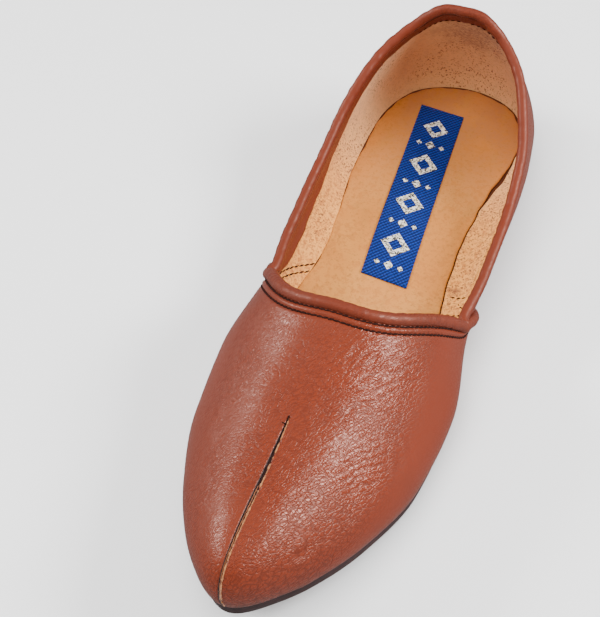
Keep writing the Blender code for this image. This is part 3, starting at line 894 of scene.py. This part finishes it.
def throat_bead_half(side_count=60, over_count=90):
    """Centre line of the vamp's roll from the sole to the middle of the throat, and its relative width."""
    side = np.linspace(ROLL_START, 1, side_count)
    over = np.linspace(1, 0, over_count)
    w = np.concatenate([1 + (lap_reach() - 1) * (1 - side ** (1 / LAP_POWER))[:-1], over])
    v = np.concatenate([side[:-1], np.ones(over_count)])
    surface_points = skin(w, v)
    out = unit(soften(skin_normal(w, v), 6))
    free = np.concatenate([np.zeros(side_count - 1), ease((1 - over) / 0.3)])
    width = np.concatenate([0.5 + 0.42 * ease(side[:-1]), 0.92 + 0.08 * ease((1 - over) / 0.2)])
    rise = 0.8 * MM * (1 - free) + (LAP - WALL) / 2 * free
    reach = PIPING * width * (0.72 + 0.13 * free)
    path = bead_path(surface_points, out, -1.0, reach, rise)
    path[-1, 0] = 0.0
    return path, width


def collar_bead_half(count=160):
    """Centre line of the collar's roll from the point nearest the vamp's roll to the heel."""
    w, top = np.linspace(1.0, 2.0, count), np.ones(count)
    out = unit(soften(skin_normal(w, top), 4))
    path = bead_path(skin(w, top), out, 1.0, PIPING * COLLAR_REACH * top, -WALL / 2 * top)
    path[-1, 0] = 0.0
    other, width = throat_bead_half()
    gap = np.linalg.norm(path[:, None] - other[None], axis=2) - PIPING * (1 + width)
    start = int(np.argmin(gap.min(axis=1)[:60]))
    print("the collar roll starts at point", start, "gap in mm", round(float(gap.min()) / MM, 2))
    return path[start:]


def both_sides(points):
    return np.concatenate([points, other_side(points[::-1][1:])])


def tube(name, path, radius, look, around=20, wrinkle=0.0, seed=3):
    """A roll along the path, rounded and closed at both ends. Small pleats run slantwise round it."""
    tangent = unit(np.gradient(path, axis=0))
    up = unit(np.array([0.0, 0.0, 1.0]) - tangent * tangent[:, 2:3])
    aside = np.cross(tangent, up)
    steps = walked_along(path)
    rest = np.minimum(steps, steps[-1] - steps)
    close = np.sqrt(np.clip(1 - (1 - np.clip(rest / radius, 0, 1)) ** 2, 0, 1))
    angles = np.linspace(0, 2 * np.pi, around + 1)
    chance = np.random.default_rng(seed)
    size = (radius * close)[:, None] + 0 * angles
    for _ in range(PLEATS):
        pitch, phase = chance.uniform(2.5, 9) * MM, chance.uniform(0, ONCE_ROUND)
        lean = chance.integers(-2, 3)
        wave = np.sin(steps[:, None] / pitch * ONCE_ROUND + lean * angles + phase)
        size = size + wrinkle / 3 * close[:, None] * wave
    ring = np.cos(angles)[None, :, None] * aside[:, None] + np.sin(angles)[None, :, None] * up[:, None]
    points = path[:, None] + ring * size[..., None]
    points[:, -1] = points[:, 0]
    bm = bmesh.new()
    lay_grid(bm, points, closed=True)
    bmesh.ops.recalc_face_normals(bm, faces=bm.faces)
    return to_object(name, bm, [look])


half, widths = throat_bead_half()
half = even(np.column_stack([half, widths]), 200)
half[:, :3] = soften(half[:, :3], 10)
throat_path = both_sides(half[:, :3])
full_widths = np.concatenate([half[:, 3], half[::-1, 3][1:]])
throat_size = PIPING * THROAT_SHARE * full_widths
throat_roll = tube("throat_roll", throat_path, throat_size, rolled_leather, 22, 0.05 * MM)
place_piece(throat_roll, "throat_piping")

collar_path = both_sides(soften(even(collar_bead_half(), 220), 6))
collar_size = np.full(len(collar_path), PIPING * COLLAR_SHARE)
collar_roll = tube("collar_roll", collar_path, collar_size, rolled_leather, 22, 0.06 * MM, 5)
place_piece(collar_roll, "collar_piping")

# %% [markdown]
# The collar's roll is cut from a binding strip. Its other edge is turned in and glued to the lining, where
# it shows as a brown band some six millimetres wide, and nearly nine on the left towards the throat. The
# band's darker rolled leather paints the shade inside the collar.
# %% The turned-in band

BAND_WIDTH = 6.4 * MM
BAND_MORE = 2.4 * MM
BAND_THICKNESS = 0.7 * MM


def below_collar(w, distance):
    """Chart height at a distance below the collar's edge."""
    v = np.linspace(1, 0.3, 120)
    return np.interp(distance, walked_along(skin(np.full(120, w), v)), v)


# How far the band stands off the lining from its upper to its lower edge, as a share of its thickness
BAND_PRESS = np.array([0.9, 1, 1, 1, 1, 1, 1, 0.95, 0.75])


def band_points(side):
    rows, count = [], len(BAND_PRESS)
    for w in np.linspace(1.0, 2.0, 150):
        uneven = 0.35 * MM * (math.sin(w * 47) + 0.6 * math.sin(w * 113 + 1))
        wider = BAND_MORE * float(1 - ease((w - 1.4) / 0.5)) if side < 0 else 0.0
        width = (BAND_WIDTH + wider + uneven) * float(ease((w - 0.985) / 0.06))
        v = below_collar(w, np.linspace(0, 1, count) * width)
        out = skin_normal(np.full(count, w), v)
        row = skin(np.full(count, w), v) - out * (WALL + BAND_THICKNESS * BAND_PRESS)[:, None]
        if w >= 2.0:
            row[:, 0] = 0.0
        rows.append(row)
    return on_side(np.array(rows), side)


bm = bmesh.new()
for side in (1, -1):
    lay_grid(bm, band_points(side), out=(-side, 0, 0))
join_middle(bm)
band = to_object("turned_band", bm, [rolled_leather, shaded_cut_edge])
thicken(band, BAND_THICKNESS, rim=1)
place_piece(band, "collar_piping")

# %% [markdown]
# The seams are back stitched with dark waxed thread. Each stitch is a small seed-shaped bead, and all
# stitches of a seam are one piece. The rows go through, so they show again on the lining.
# %% Stitches


def along_vamp_edge(distance, side, inside=False, first=0.0):
    """Path at a distance from the vamp's edge, with the outward direction."""
    fine_w, fine_v, walked, at = vamp_lines(400)
    keep = np.where((at / at[-1] >= first) & (walked[:, -1] > distance + 2 * MM))[0]
    w = np.array([np.interp(distance, walked[i], fine_w[i]) for i in keep])
    v = np.array([np.interp(distance, walked[i], fine_v[i]) for i in keep])
    if not inside:
        return vamp_face(w, v, np.full(len(w), distance), side)
    out = skin_normal(w, v)
    points = skin(w, v) - out * (WALL + 0.05 * MM)
    return on_side(points, side), on_side(-out, side)


def stitch_seed():
    bm = bmesh.new()
    bmesh.ops.create_uvsphere(bm, u_segments=6, v_segments=5, radius=1)
    seed = bpy.data.meshes.new("stitch_seed")
    bm.to_mesh(seed)
    bm.free()
    return seed


SEED = stitch_seed()
# Pitch, length and thickness of each kind of stitch, in millimetres
STITCHES = {
    "seam": (2.2, 2.8, 0.5),
    "seam inside": (2.6, 2.8, 0.36),
    "small": (2.6, 1.9, 0.24),
    "long": (4.4, 2.6, 0.34),
    "end": (3.4, 2.6, 0.3),
    "cross": (2.6, 2.6, 0.22),
}


def at_distance(distance, steps, rows):
    """The row of a table at a distance walked."""
    return np.array([np.interp(distance, steps, column) for column in rows.T])


def add_stitches(bm, path, out, kind, chance):
    """Seeds of thread laid end to end on the path."""
    pitch, length, thick = (value * MM for value in STITCHES[kind])
    steps = walked_along(path)
    for index in range(int(steps[-1] / pitch)):
        at = (index + 0.5) * pitch
        ends = [at_distance(at + reach, steps, path) for reach in (-0.4 * pitch, 0.4 * pitch)]
        forward = Vector(unit(ends[1] - ends[0]))
        upward = Vector(unit(at_distance(at, steps, out)))
        aside = upward.cross(forward).normalized()
        forward = (forward + aside * (0.16 + chance.normal() * 0.05)).normalized()
        aside = upward.cross(forward).normalized()
        upward = forward.cross(aside)
        middle = Vector((ends[0] + ends[1]) / 2) + upward * thick * 0.15
        turned = Matrix((forward, aside, upward)).transposed().to_4x4()
        sized = Matrix.Diagonal((length / 2, thick * chance.uniform(0.9, 1.1), thick * 0.8, 1))
        one = SEED.copy()
        one.transform(Matrix.Translation(middle) @ turned @ sized)
        bm.from_mesh(one)
        bpy.data.meshes.remove(one)


chance = np.random.default_rng(11)
bm = bmesh.new()
for side in (1, -1):
    for distance in SEAM_ROWS:
        path, out = along_vamp_edge(distance, side)
        add_stitches(bm, path, out, "seam", chance)
    for distance in SEAM_ROWS:
        path, out = along_vamp_edge(distance, side, inside=True, first=0.46)
        add_stitches(bm, path, out, "seam inside", chance)
throat_stitches = to_object("throat_stitches", bm, [dark_thread])
place_piece(throat_stitches, "upper")

# %% [markdown]
# A row of small stitches runs just inside the band's lower edge: along most of the right side, and on the
# left only round the heel. On the right a few long stitches also lie on that edge.
# %% Stitches of the band


def on_band(distance, side, first, last, rise=0.05 * MM):
    w = np.linspace(first, last, 160)
    v = np.array([float(below_collar(one, distance)) for one in w])
    out = skin_normal(w, v)
    points = skin(w, v) - out * (WALL + BAND_THICKNESS + rise)
    return on_side(points, side), on_side(-out, side)


bm = bmesh.new()
for side, first in ((1, 1.1), (-1, 1.72)):
    path, out = on_band(BAND_WIDTH - 0.9 * MM, side, first, 1.995)
    add_stitches(bm, path, out, "small", chance)
path, out = on_band(BAND_WIDTH - 0.1 * MM, 1, 1.14, 1.38, -0.2 * MM)
add_stitches(bm, path, out, "long", chance)
band_stitches = to_object("band_stitches", bm, [dark_thread])
place_piece(band_stitches, "collar_piping")

# %% [markdown]
# The slit over the toe shows the cut: a light raw edge on its right, a brown strand of the inner layer in
# the middle, and one small cross stitch that stops it from tearing further.
# %% The slit over the toe


slit_v = np.linspace(0.02, 1, 500)
slit_line, slit_out = skin(0.0 * slit_v, slit_v), skin_normal(0.0 * slit_v, slit_v)
slit_line[:, 0], slit_out[:, 0] = 0.0, 0.0
slit_along = walked_along(slit_line)
bend = int(np.argmin(share_of(slit_line[:, 1])))


def walked_to(shares):
    """Distance walked up the toe to a share of the shoe's length."""
    return np.interp(shares, share_of(slit_line[bend:, 1]), slit_along[bend:])


def over_slit(walked, aside, rise):
    """Places over the slit: distance walked from the sole, aside from the middle, rise above the skin."""
    points = np.stack([np.interp(walked, slit_along, slit_line[:, axis]) for axis in range(3)], axis=1)
    up = np.stack([np.interp(walked, slit_along, slit_out[:, axis]) for axis in range(3)], axis=1)
    points = points + unit(up) * np.asarray(rise)[..., None]
    points[:, 0] = aside
    return points


chance = np.random.default_rng(21)
walked = np.linspace(0, float(walked_to(SEAM_END - 0.002)), 170)
ragged = soften(chance.normal(size=170), 1) * 0.15 * MM
beyond = slit_half(over_slit(walked, 0.0, 0.0)[:, 1])
lip_size = np.clip(0.26 * MM + ragged, 0.1 * MM, None) * np.clip(beyond / (0.4 * MM), 0.4, 1)
lip_path = over_slit(walked, beyond + 0.04 * MM, LAP - 0.10 * MM + 0.5 * ragged)
lip = tube("slit_lip", lip_path, lip_size, raw_edge, 10)
place_piece(lip, "upper")

STRAND_END = 0.135
walked = np.linspace(0, float(walked_to(STRAND_END)), 120)
ragged = soften(chance.normal(size=120), 1) * 0.12 * MM
strand_path = over_slit(walked, -0.05 * MM + ragged, 0.45 * MM + ragged)
strand = tube("slit_strand", strand_path, np.full(120, 0.25 * MM), worn_strand, 8)
place_piece(strand, "upper")

bm = bmesh.new()
shares = SEAM_END + np.array([-0.010, -0.002, 0.004])
ends = over_slit(walked_to(shares), 0.0, LAP + 0.1 * MM)
below = over_slit(walked_to(shares[1:2]), 0.0, 0.0)[0]
out = np.tile(unit(ends[1] - below), (3, 1))
add_stitches(bm, ends, out, "end", chance)
crossing = ends[:1] + np.array([[-1.7, 0.0, -0.1], [-0.4, -0.6, 0.1], [0.9, -1.2, 0.1]]) * MM
add_stitches(bm, crossing, out, "cross", chance)
end_stitch = to_object("slit_end_stitch", bm, [dark_thread])
place_piece(end_stitch, "upper")

# %% [markdown]
# The sole is a strip of dark leather cut a little wider than the upper's foot. Its side steps in below, and
# the heel piece follows the same line.
# %% The sole and the heel piece


SOLE_OUT = 0.8 * MM
SIDE_OUT = 0.2 * MM
HEEL_IN = 0.4 * MM


def foot_outline(around, out):
    """The upper's foot in plan, moved outwards."""
    x, y = outline(around)
    nx, ny = outline_normal(around)
    drawn = draw_in(share(around)) - out
    x = np.where((around <= 0) | (around >= 1), 0.0, np.maximum(x - nx * drawn, 0.0))
    return x, y - ny * drawn


def lofted(name, right_half, left_half, looks, sharp=35):
    """A closed solid from the sections of its right half and its left half, each given for the right."""
    bm = bmesh.new()
    for side, sections in ((1, right_half), (-1, left_half)):
        lay_grid(bm, on_side(np.array(sections), side), closed=True)
    bmesh.ops.remove_doubles(bm, verts=bm.verts, dist=0.01 * MM)
    bmesh.ops.recalc_face_normals(bm, faces=bm.faces)
    return to_object(name, bm, looks, sharp=sharp)


def sole_sections(count=200):
    sections = []
    for around in np.linspace(0, 1, count):
        worn = 0.12 * MM * math.sin(around * 61) * math.sin(around * 23 + 1)
        x, y = foot_outline(np.array(around), SOLE_OUT + worn)
        in_x, in_y = foot_outline(np.array(around), SIDE_OUT)
        low = underside(in_y)
        section = [(0, in_y, low), (in_x * 0.97, in_y, low), (in_x, in_y, low + 0.4 * MM)]
        section += [(in_x, in_y, low + 2.2 * MM), (in_x, in_y, bed(in_y) - 1.6 * MM)]
        section += [(x, y, bed(y) - 1.3 * MM), (x, y, bed(y) - 0.3 * MM)]
        section += [(in_x + (x - in_x) * 0.6, in_y + (y - in_y) * 0.6, bed(y)), (in_x * 0.9, in_y, bed(in_y))]
        section += [(0, in_y, bed(in_y))]
        sections.append(section)
    return sections


outsole = lofted("outsole", sole_sections(), sole_sections(), [sole_look])
place_piece(outsole, "outsole")


def heel_sections(count=60):
    sections = []
    top = HEEL_LIFT - CLEARANCE
    for around in np.linspace(float(turn(HEEL_BREAST)), 1, count):
        low_x, low_y = foot_outline(np.array(around), -HEEL_IN)
        x, y = foot_outline(np.array(around), SIDE_OUT)
        section = [(0, low_y, 0), (low_x, low_y, 0), ((low_x + x) / 2, (low_y + y) / 2, top / 2)]
        section += [(x, y, top - 0.2 * MM), (x * 0.995, y, top), (0, y, top)]
        sections.append(section)
    first = np.array(sections[0])
    first[:, 0] = 0.0
    return [first] + sections


heel_lift = lofted("heel_lift", heel_sections(), heel_sections(), [heel_look])
place_piece(heel_lift, "heel_lift")

# %% [markdown]
# The insole board fills the floor of the shoe. Between it and the wall runs a narrow dark line of brown glue
# and painted shade in the gap, wider where the board was cut short on the right.
# %% The insole and its line of glue and painted shade


def inside_edge(w, height):
    """Place in plan of the lining at a height over the bed."""
    v = np.linspace(0, 0.7, 60)
    inner = skin(np.full(60, w), v) - skin_normal(np.full(60, w), v) * WALL
    over = inner[:, 2] - bed(inner[:, 1])
    order = np.argsort(over)
    return np.interp(height, over[order], inner[order, 0]), np.interp(height, over[order], inner[order, 1])


def direction_at(w):
    """Outward direction in plan at a place round the wall."""
    foot = turn(CORNER_FOOT)
    around = w * foot if w <= 1 else foot + (1 - foot) * (w - 1)
    nx, ny = outline_normal(np.array(around))
    return float(nx), float(ny)


# Columns: place round the wall, how far the board stays off it on the right
RIGHT_MARGIN = np.array([
    (0.80, 0.75),
    (0.95, 4.5),
    (1.05, 5.3),
    (1.15, 5.6),
    (1.22, 7.0),
    (1.30, 8.2),
    (1.38, 6.6),
    (1.45, 4.2),
    (1.52, 2.2),
    (1.60, 0.8),
])


def board_gap(w, side):
    """Width of the line between board and wall."""
    wobble = 0.25 * math.sin(w * 37 + side) + 0.16 * math.sin(w * 91 + 2 * side)
    if side > 0:
        return (float(np.interp(w, RIGHT_MARGIN[:, 0], RIGHT_MARGIN[:, 1])) + 0.8 * wobble) * MM
    return max(0.75 + wobble, 0.15) * MM


def board_columns():
    return np.concatenate([np.linspace(0, 1, 90)[:-1], np.linspace(1, 2, 130)])


BOARD_TOP = CLEARANCE + INSOLE_THICKNESS


def board_sections(side):
    sections = []
    for w in board_columns():
        x, y = inside_edge(w, BOARD_TOP)
        nx, ny = direction_at(w)
        gap = board_gap(w, side)
        x, y = x - nx * gap, y - ny * gap
        low_x, low_y = inside_edge(w, CLEARANCE)
        low_x, low_y = min(low_x - nx * gap, x), low_y - ny * gap
        if w in (0, 2):
            x, low_x = 0.0, 0.0
        low = bed(low_y) + CLEARANCE
        section = [(0, low_y, low), (low_x, low_y, low), (x, y, bed(y) + BOARD_TOP - 0.5 * MM)]
        for inward, down in ((0.15, 0.2), (0.45, 0.05), (1.1, 0.0)):
            px, py = max(x - abs(nx) * inward * MM, 0), y - ny * inward * MM
            section.append((px, py, bed(py) + BOARD_TOP - down * MM))
        section.append((0, y - ny * 1.1 * MM, bed(y - ny * 1.1 * MM) + BOARD_TOP))
        sections.append(section)
    return np.array(sections)


def glue_shade_points(side):
    rows = []
    for w in board_columns():
        x, y = inside_edge(w, BOARD_TOP)
        nx, ny = direction_at(w)
        gap = board_gap(w, side) + 0.5 * MM
        row = []
        for share_in, low in ((0.0, 0.25), (0.35, 0.42), (0.7, 0.5), (1.0, 0.7)):
            inward = -0.25 * MM + share_in * gap
            px, py = x - nx * inward, y - ny * inward
            row.append((0 if w in (0, 2) else px, py, bed(py) + BOARD_TOP - low * MM))
        rows.append(row)
    return np.array(rows)


insole = lofted("insole", board_sections(1), board_sections(-1), [board_look], 40)
place_piece(insole, "insole")

# A dark strip down the gap: brown glue and painted shade.
bm = bmesh.new()
for side in (1, -1):
    lay_grid(bm, on_side(glue_shade_points(side), side), out=(0, 0, 1))
join_middle(bm, 0.3 * MM)
glue_shade_strip = to_object("glue_shade_line", bm, [glue_shade_look])
thicken(glue_shade_strip, 0.3 * MM)
place_piece(glue_shade_strip, "insole")

# %% [markdown]
# On the right the board is cut too narrow, so the lining's foot shows beside it: the suede curves off the
# wall onto the sole. A strip that leaves the wall and ends level, just short of the board, gives that
# hollow curve. Two short rows of stitches cross it near the throat.
# %% The lining's foot

FOOT_RISE = 5.0 * MM
FOOT_HOLLOW = 2.4


def lining_foot_points():
    rows = []
    for w in np.linspace(0.84, 1.62, 120):
        nx, ny = direction_at(w)
        high, low = np.array(inside_edge(w, BOARD_TOP + FOOT_RISE)), np.array(inside_edge(w, BOARD_TOP))
        dark = (0.55 + 1.5 * math.exp(-(((w - 1.40) / 0.06) ** 2))) * MM
        outward = np.array([nx, ny])
        start = high - outward * 0.15 * MM
        end = low - outward * max(board_gap(w, 1) - dark, 0.15 * MM)
        row = []
        for t in np.linspace(0, 1, 8):
            x, y = start + (end - start) * t
            row.append((x, y, bed(y) + BOARD_TOP + FOOT_RISE * (1 - t) ** FOOT_HOLLOW - 0.12 * MM))
        rows.append(row)
    return np.array(rows)


bm = bmesh.new()
lay_grid(bm, lining_foot_points(), out=(-1, 0, 1))
lining_foot = to_object("lining_foot", bm, [lining_suede])
thicken(lining_foot, 0.3 * MM)
place_piece(lining_foot, "upper")

bm = bmesh.new()
foot, chance = lining_foot_points(), np.random.default_rng(34)
FOOT_ROWS = (30, 36)
for row in FOOT_ROWS:
    path = foot[row, 1:7] + np.array([0.0, 0.0, 0.3 * MM])
    out = np.tile(unit(np.array([-0.5, 0.0, 0.85])), (len(path), 1))
    add_stitches(bm, path, out, "small", chance)
foot_stitches = to_object("foot_stitches", bm, [dark_thread])
place_piece(foot_stitches, "upper")

# %% [markdown]
# The label is a woven ribbon, glued a little aside of the middle and a few degrees askew, with its ends cut
# on a slant. Its ground is a blue twill with slanted ribs. A row of plain lozenges in silver thread
# decorates it.
# %% The label

LABEL_LENGTH = 98 * MM
LABEL_WIDTH = 20 * MM
LABEL_CENTRE = 0.7525
LABEL_ASIDE = -3.6 * MM
LABEL_TURN = math.radians(4.0)
LABEL_SKEW = math.radians(10.0)
LABEL_THICKNESS = 0.5 * MM
LABEL_FACE = 0.62 * MM
LOZENGE_FACE = 0.78 * MM
LOZENGE_THICKNESS = 0.2 * MM
label_middle = (LABEL_CENTRE - 0.5) * LENGTH


def on_insole(along, across, rise):
    """Place on the insole from the label's own length and width."""
    x = LABEL_ASIDE + across * math.cos(LABEL_TURN) - along * math.sin(LABEL_TURN)
    y = label_middle + across * math.sin(LABEL_TURN - LABEL_SKEW) + along * math.cos(LABEL_TURN)
    return np.stack([x, y, bed(y) + BOARD_TOP + rise], axis=-1)


def woven(name, ground, rib, slant, pitch):
    look, tree, shader = new_look(name, ground, 0.7)
    turned = object_place(tree, turned=-LABEL_TURN - slant)
    wobble = maths(tree, "MULTIPLY", noise(tree, turned, 300.0, 2.0, 0.5), 0.0004)
    across, along = maths(tree, "ADD", part_of(tree, turned, "Y"), wobble), part_of(tree, turned, "X")
    wave = maths(tree, "SINE", maths(tree, "MULTIPLY", across, 2 * math.pi / pitch))
    beat = maths(tree, "SINE", maths(tree, "MULTIPLY", along, 2 * math.pi / (pitch * 0.9)))
    crest = remap(tree, maths(tree, "ADD", wave, maths(tree, "MULTIPLY", beat, 0.45)), -0.2, 1.1)
    fuzz = noise(tree, turned, 1600.0, 2.0, 0.6)
    color = blend_colors(tree, crest, ground, rib)
    fuzzy = remap(tree, fuzz, 0.5, 0.8, 0.0, 0.35)
    set_color(tree, shader, blend_colors(tree, fuzzy, color, shade(rib, 2.0)))
    add_bump(tree, shader, crest, 0.7, 0.0003)
    shader.inputs["Sheen Weight"].default_value = 0.05
    shader.inputs["Specular IOR Level"].default_value = 0.2
    return look


RIB_SLANT = math.radians(42)
blue_twill = woven("blue twill", (0.0006, 0.006, 0.055), (0.0018, 0.030, 0.25), RIB_SLANT, 1.35 * MM)

along = np.linspace(-LABEL_LENGTH / 2, LABEL_LENGTH / 2, 120)
across = np.linspace(-LABEL_WIDTH / 2, LABEL_WIDTH / 2, 30)
along, across = np.meshgrid(along, across, indexing="ij")
wave = 0.08 * MM * np.sin(along / (9 * MM)) * np.sin(across / (5 * MM) + 1)
bm = bmesh.new()
lay_grid(bm, on_insole(along, across, LABEL_FACE + wave), out=(0, 0, 1))
label = to_object("label", bm, [blue_twill])
thicken(label, LABEL_THICKNESS)
place_piece(label, "label")

# %% [markdown]
# The thread of the lozenges is silver and black twisted together, so it looks speckled.
# %% The lozenges


def speckled_thread(name):
    look, tree, shader = new_look(name, (0.6, 0.55, 0.42), 0.5)
    turned = object_place(tree, (2.6, 0.8, 1), math.radians(-60))
    other = object_place(tree, (0.8, 2.4, 1), math.radians(-20))
    first = noise(tree, turned, 700.0, 2.0, 0.6)
    second = noise(tree, other, 620.0, 2.0, 0.6)
    mixed = maths(tree, "MAXIMUM", first, second)
    light = blend_colors(tree, remap(tree, second, 0.4, 0.6), (0.62, 0.52, 0.33), (0.8, 0.78, 0.72))
    set_color(tree, shader, blend_colors(tree, remap(tree, mixed, 0.50, 0.56), (0.03, 0.03, 0.03), light))
    add_bump(tree, shader, mixed, 0.8, 0.0003)
    return look


def add_lozenge(bm, along, across, half_long, half_wide, ring):
    """A four-cornered patch on the label, open in the middle if it is a ring."""
    patch = bmesh.new()
    bmesh.ops.create_circle(patch, cap_ends=True, segments=4, radius=1)
    for vert in patch.verts:
        vert.co = Vector((vert.co.x * half_long, vert.co.y * half_wide, 0))
    if ring:
        settings = {"thickness": ring, "use_boundary": True, "use_even_offset": True}
        inner = bmesh.ops.inset_region(patch, faces=patch.faces[:], **settings)
        hole = [face for face in patch.faces if face not in inner["faces"]]
        bmesh.ops.delete(patch, geom=hole, context="FACES")
    for vert in patch.verts:
        vert.co = Vector(on_insole(along + vert.co.x, across + vert.co.y, LOZENGE_FACE))
    part = bpy.data.meshes.new("lozenge")
    patch.to_mesh(part)
    patch.free()
    bm.from_mesh(part)
    bpy.data.meshes.remove(part)


# Columns: place along the label, half length, width of the ring or none
LOZENGES = (
    (37, 5.6, 2.1),
    (27, 2.4, 0),
    (15, 6.2, 2.3),
    (3.5, 2.4, 0),
    (-8, 6.2, 2.3),
    (-19.5, 2.4, 0),
    (-31, 6.2, 2.3),
    (-41.5, 2.2, 0),
)
bm = bmesh.new()
for place_along, half_long, ring in LOZENGES:
    half_wide = half_long * (1.05 if ring else 0.95)
    add_lozenge(bm, place_along * MM, 0.0, half_long * MM, half_wide * MM, ring * MM)
    if not ring:
        for aside in (-5.2, 5.2):
            add_lozenge(bm, place_along * MM, aside * MM, 1.3 * MM, 1.3 * MM, 0)
bmesh.ops.recalc_face_normals(bm, faces=bm.faces)
for face in bm.faces:
    if face.normal.z < 0:
        face.normal_flip()
lozenges = to_object("label_lozenges", bm, [speckled_thread("silver and black thread")], smooth_shade=False)
thicken(lozenges, LOZENGE_THICKNESS)
place_piece(lozenges, "label")

# %% [markdown]
# The camera looks down on the toe from the right, as the photograph does. A pale floor, two lamps like
# windows left and right and a large one overhead stand in for a small studio. The overhead lamp gives no
# shine.
# %% Floor, lights and camera

floor_look = new_look("pale floor", (0.95, 0.95, 0.95), 0.6)[0]
bm = bmesh.new()
bmesh.ops.create_grid(bm, x_segments=1, y_segments=1, size=3)
floor = to_object("floor", bm, [floor_look])
floor.visible_glossy = False


def soft_lamp(name, place_of, target, size, power):
    lamp = bpy.data.lights.new(name, "AREA")
    lamp.shape = "RECTANGLE"
    lamp.size, lamp.size_y = size
    lamp.energy = power
    made = bpy.data.objects.new(name, lamp)
    made.location = place_of
    made.rotation_euler = (Vector(target) - Vector(place_of)).to_track_quat("-Z", "Y").to_euler()
    bpy.context.scene.collection.objects.link(made)
    return made


INSTEP_SPOT = (0, -0.02, 0.04)
soft_lamp("right_window", (0.84, 0.27, 0.68), INSTEP_SPOT, (0.60, 0.34), 19)
soft_lamp("left_window", (-0.95, -0.02, 0.60), INSTEP_SPOT, (0.40, 0.22), 10)
overhead = soft_lamp("overhead_light", (-0.15, -0.36, 1.3), (0, 0, 0.03), (1.0, 1.0), 28)
overhead.visible_glossy = False

world = bpy.data.worlds.new("studio")
world.use_nodes = True
background = world.node_tree.nodes["Background"]
background.inputs["Color"].default_value = (1, 1, 1, 1)
background.inputs["Strength"].default_value = 0.35
bpy.context.scene.world = world

AZIMUTH, ELEVATION, ROLL = (math.radians(angle) for angle in (25.485, 51.478, -5.103))
camera_data = bpy.data.cameras.new("camera")
camera_data.lens = 83.26
camera_data.sensor_width = 36
camera = bpy.data.objects.new("camera", camera_data)
bpy.context.scene.collection.objects.link(camera)
bpy.context.scene.camera = camera
camera.location = (125.04 * MM, -320.72 * MM, 455.10 * MM)
flat = math.cos(ELEVATION)
back = Vector((math.sin(AZIMUTH) * flat, -math.cos(AZIMUTH) * flat, math.sin(ELEVATION)))
level = Vector((math.cos(AZIMUTH), math.sin(AZIMUTH), 0))
right = level * math.cos(ROLL) + back.cross(level) * math.sin(ROLL)
camera.rotation_euler = Matrix((right, back.cross(right), back)).transposed().to_euler()
print("camera at mm", [round(v / MM, 1) for v in camera.location])
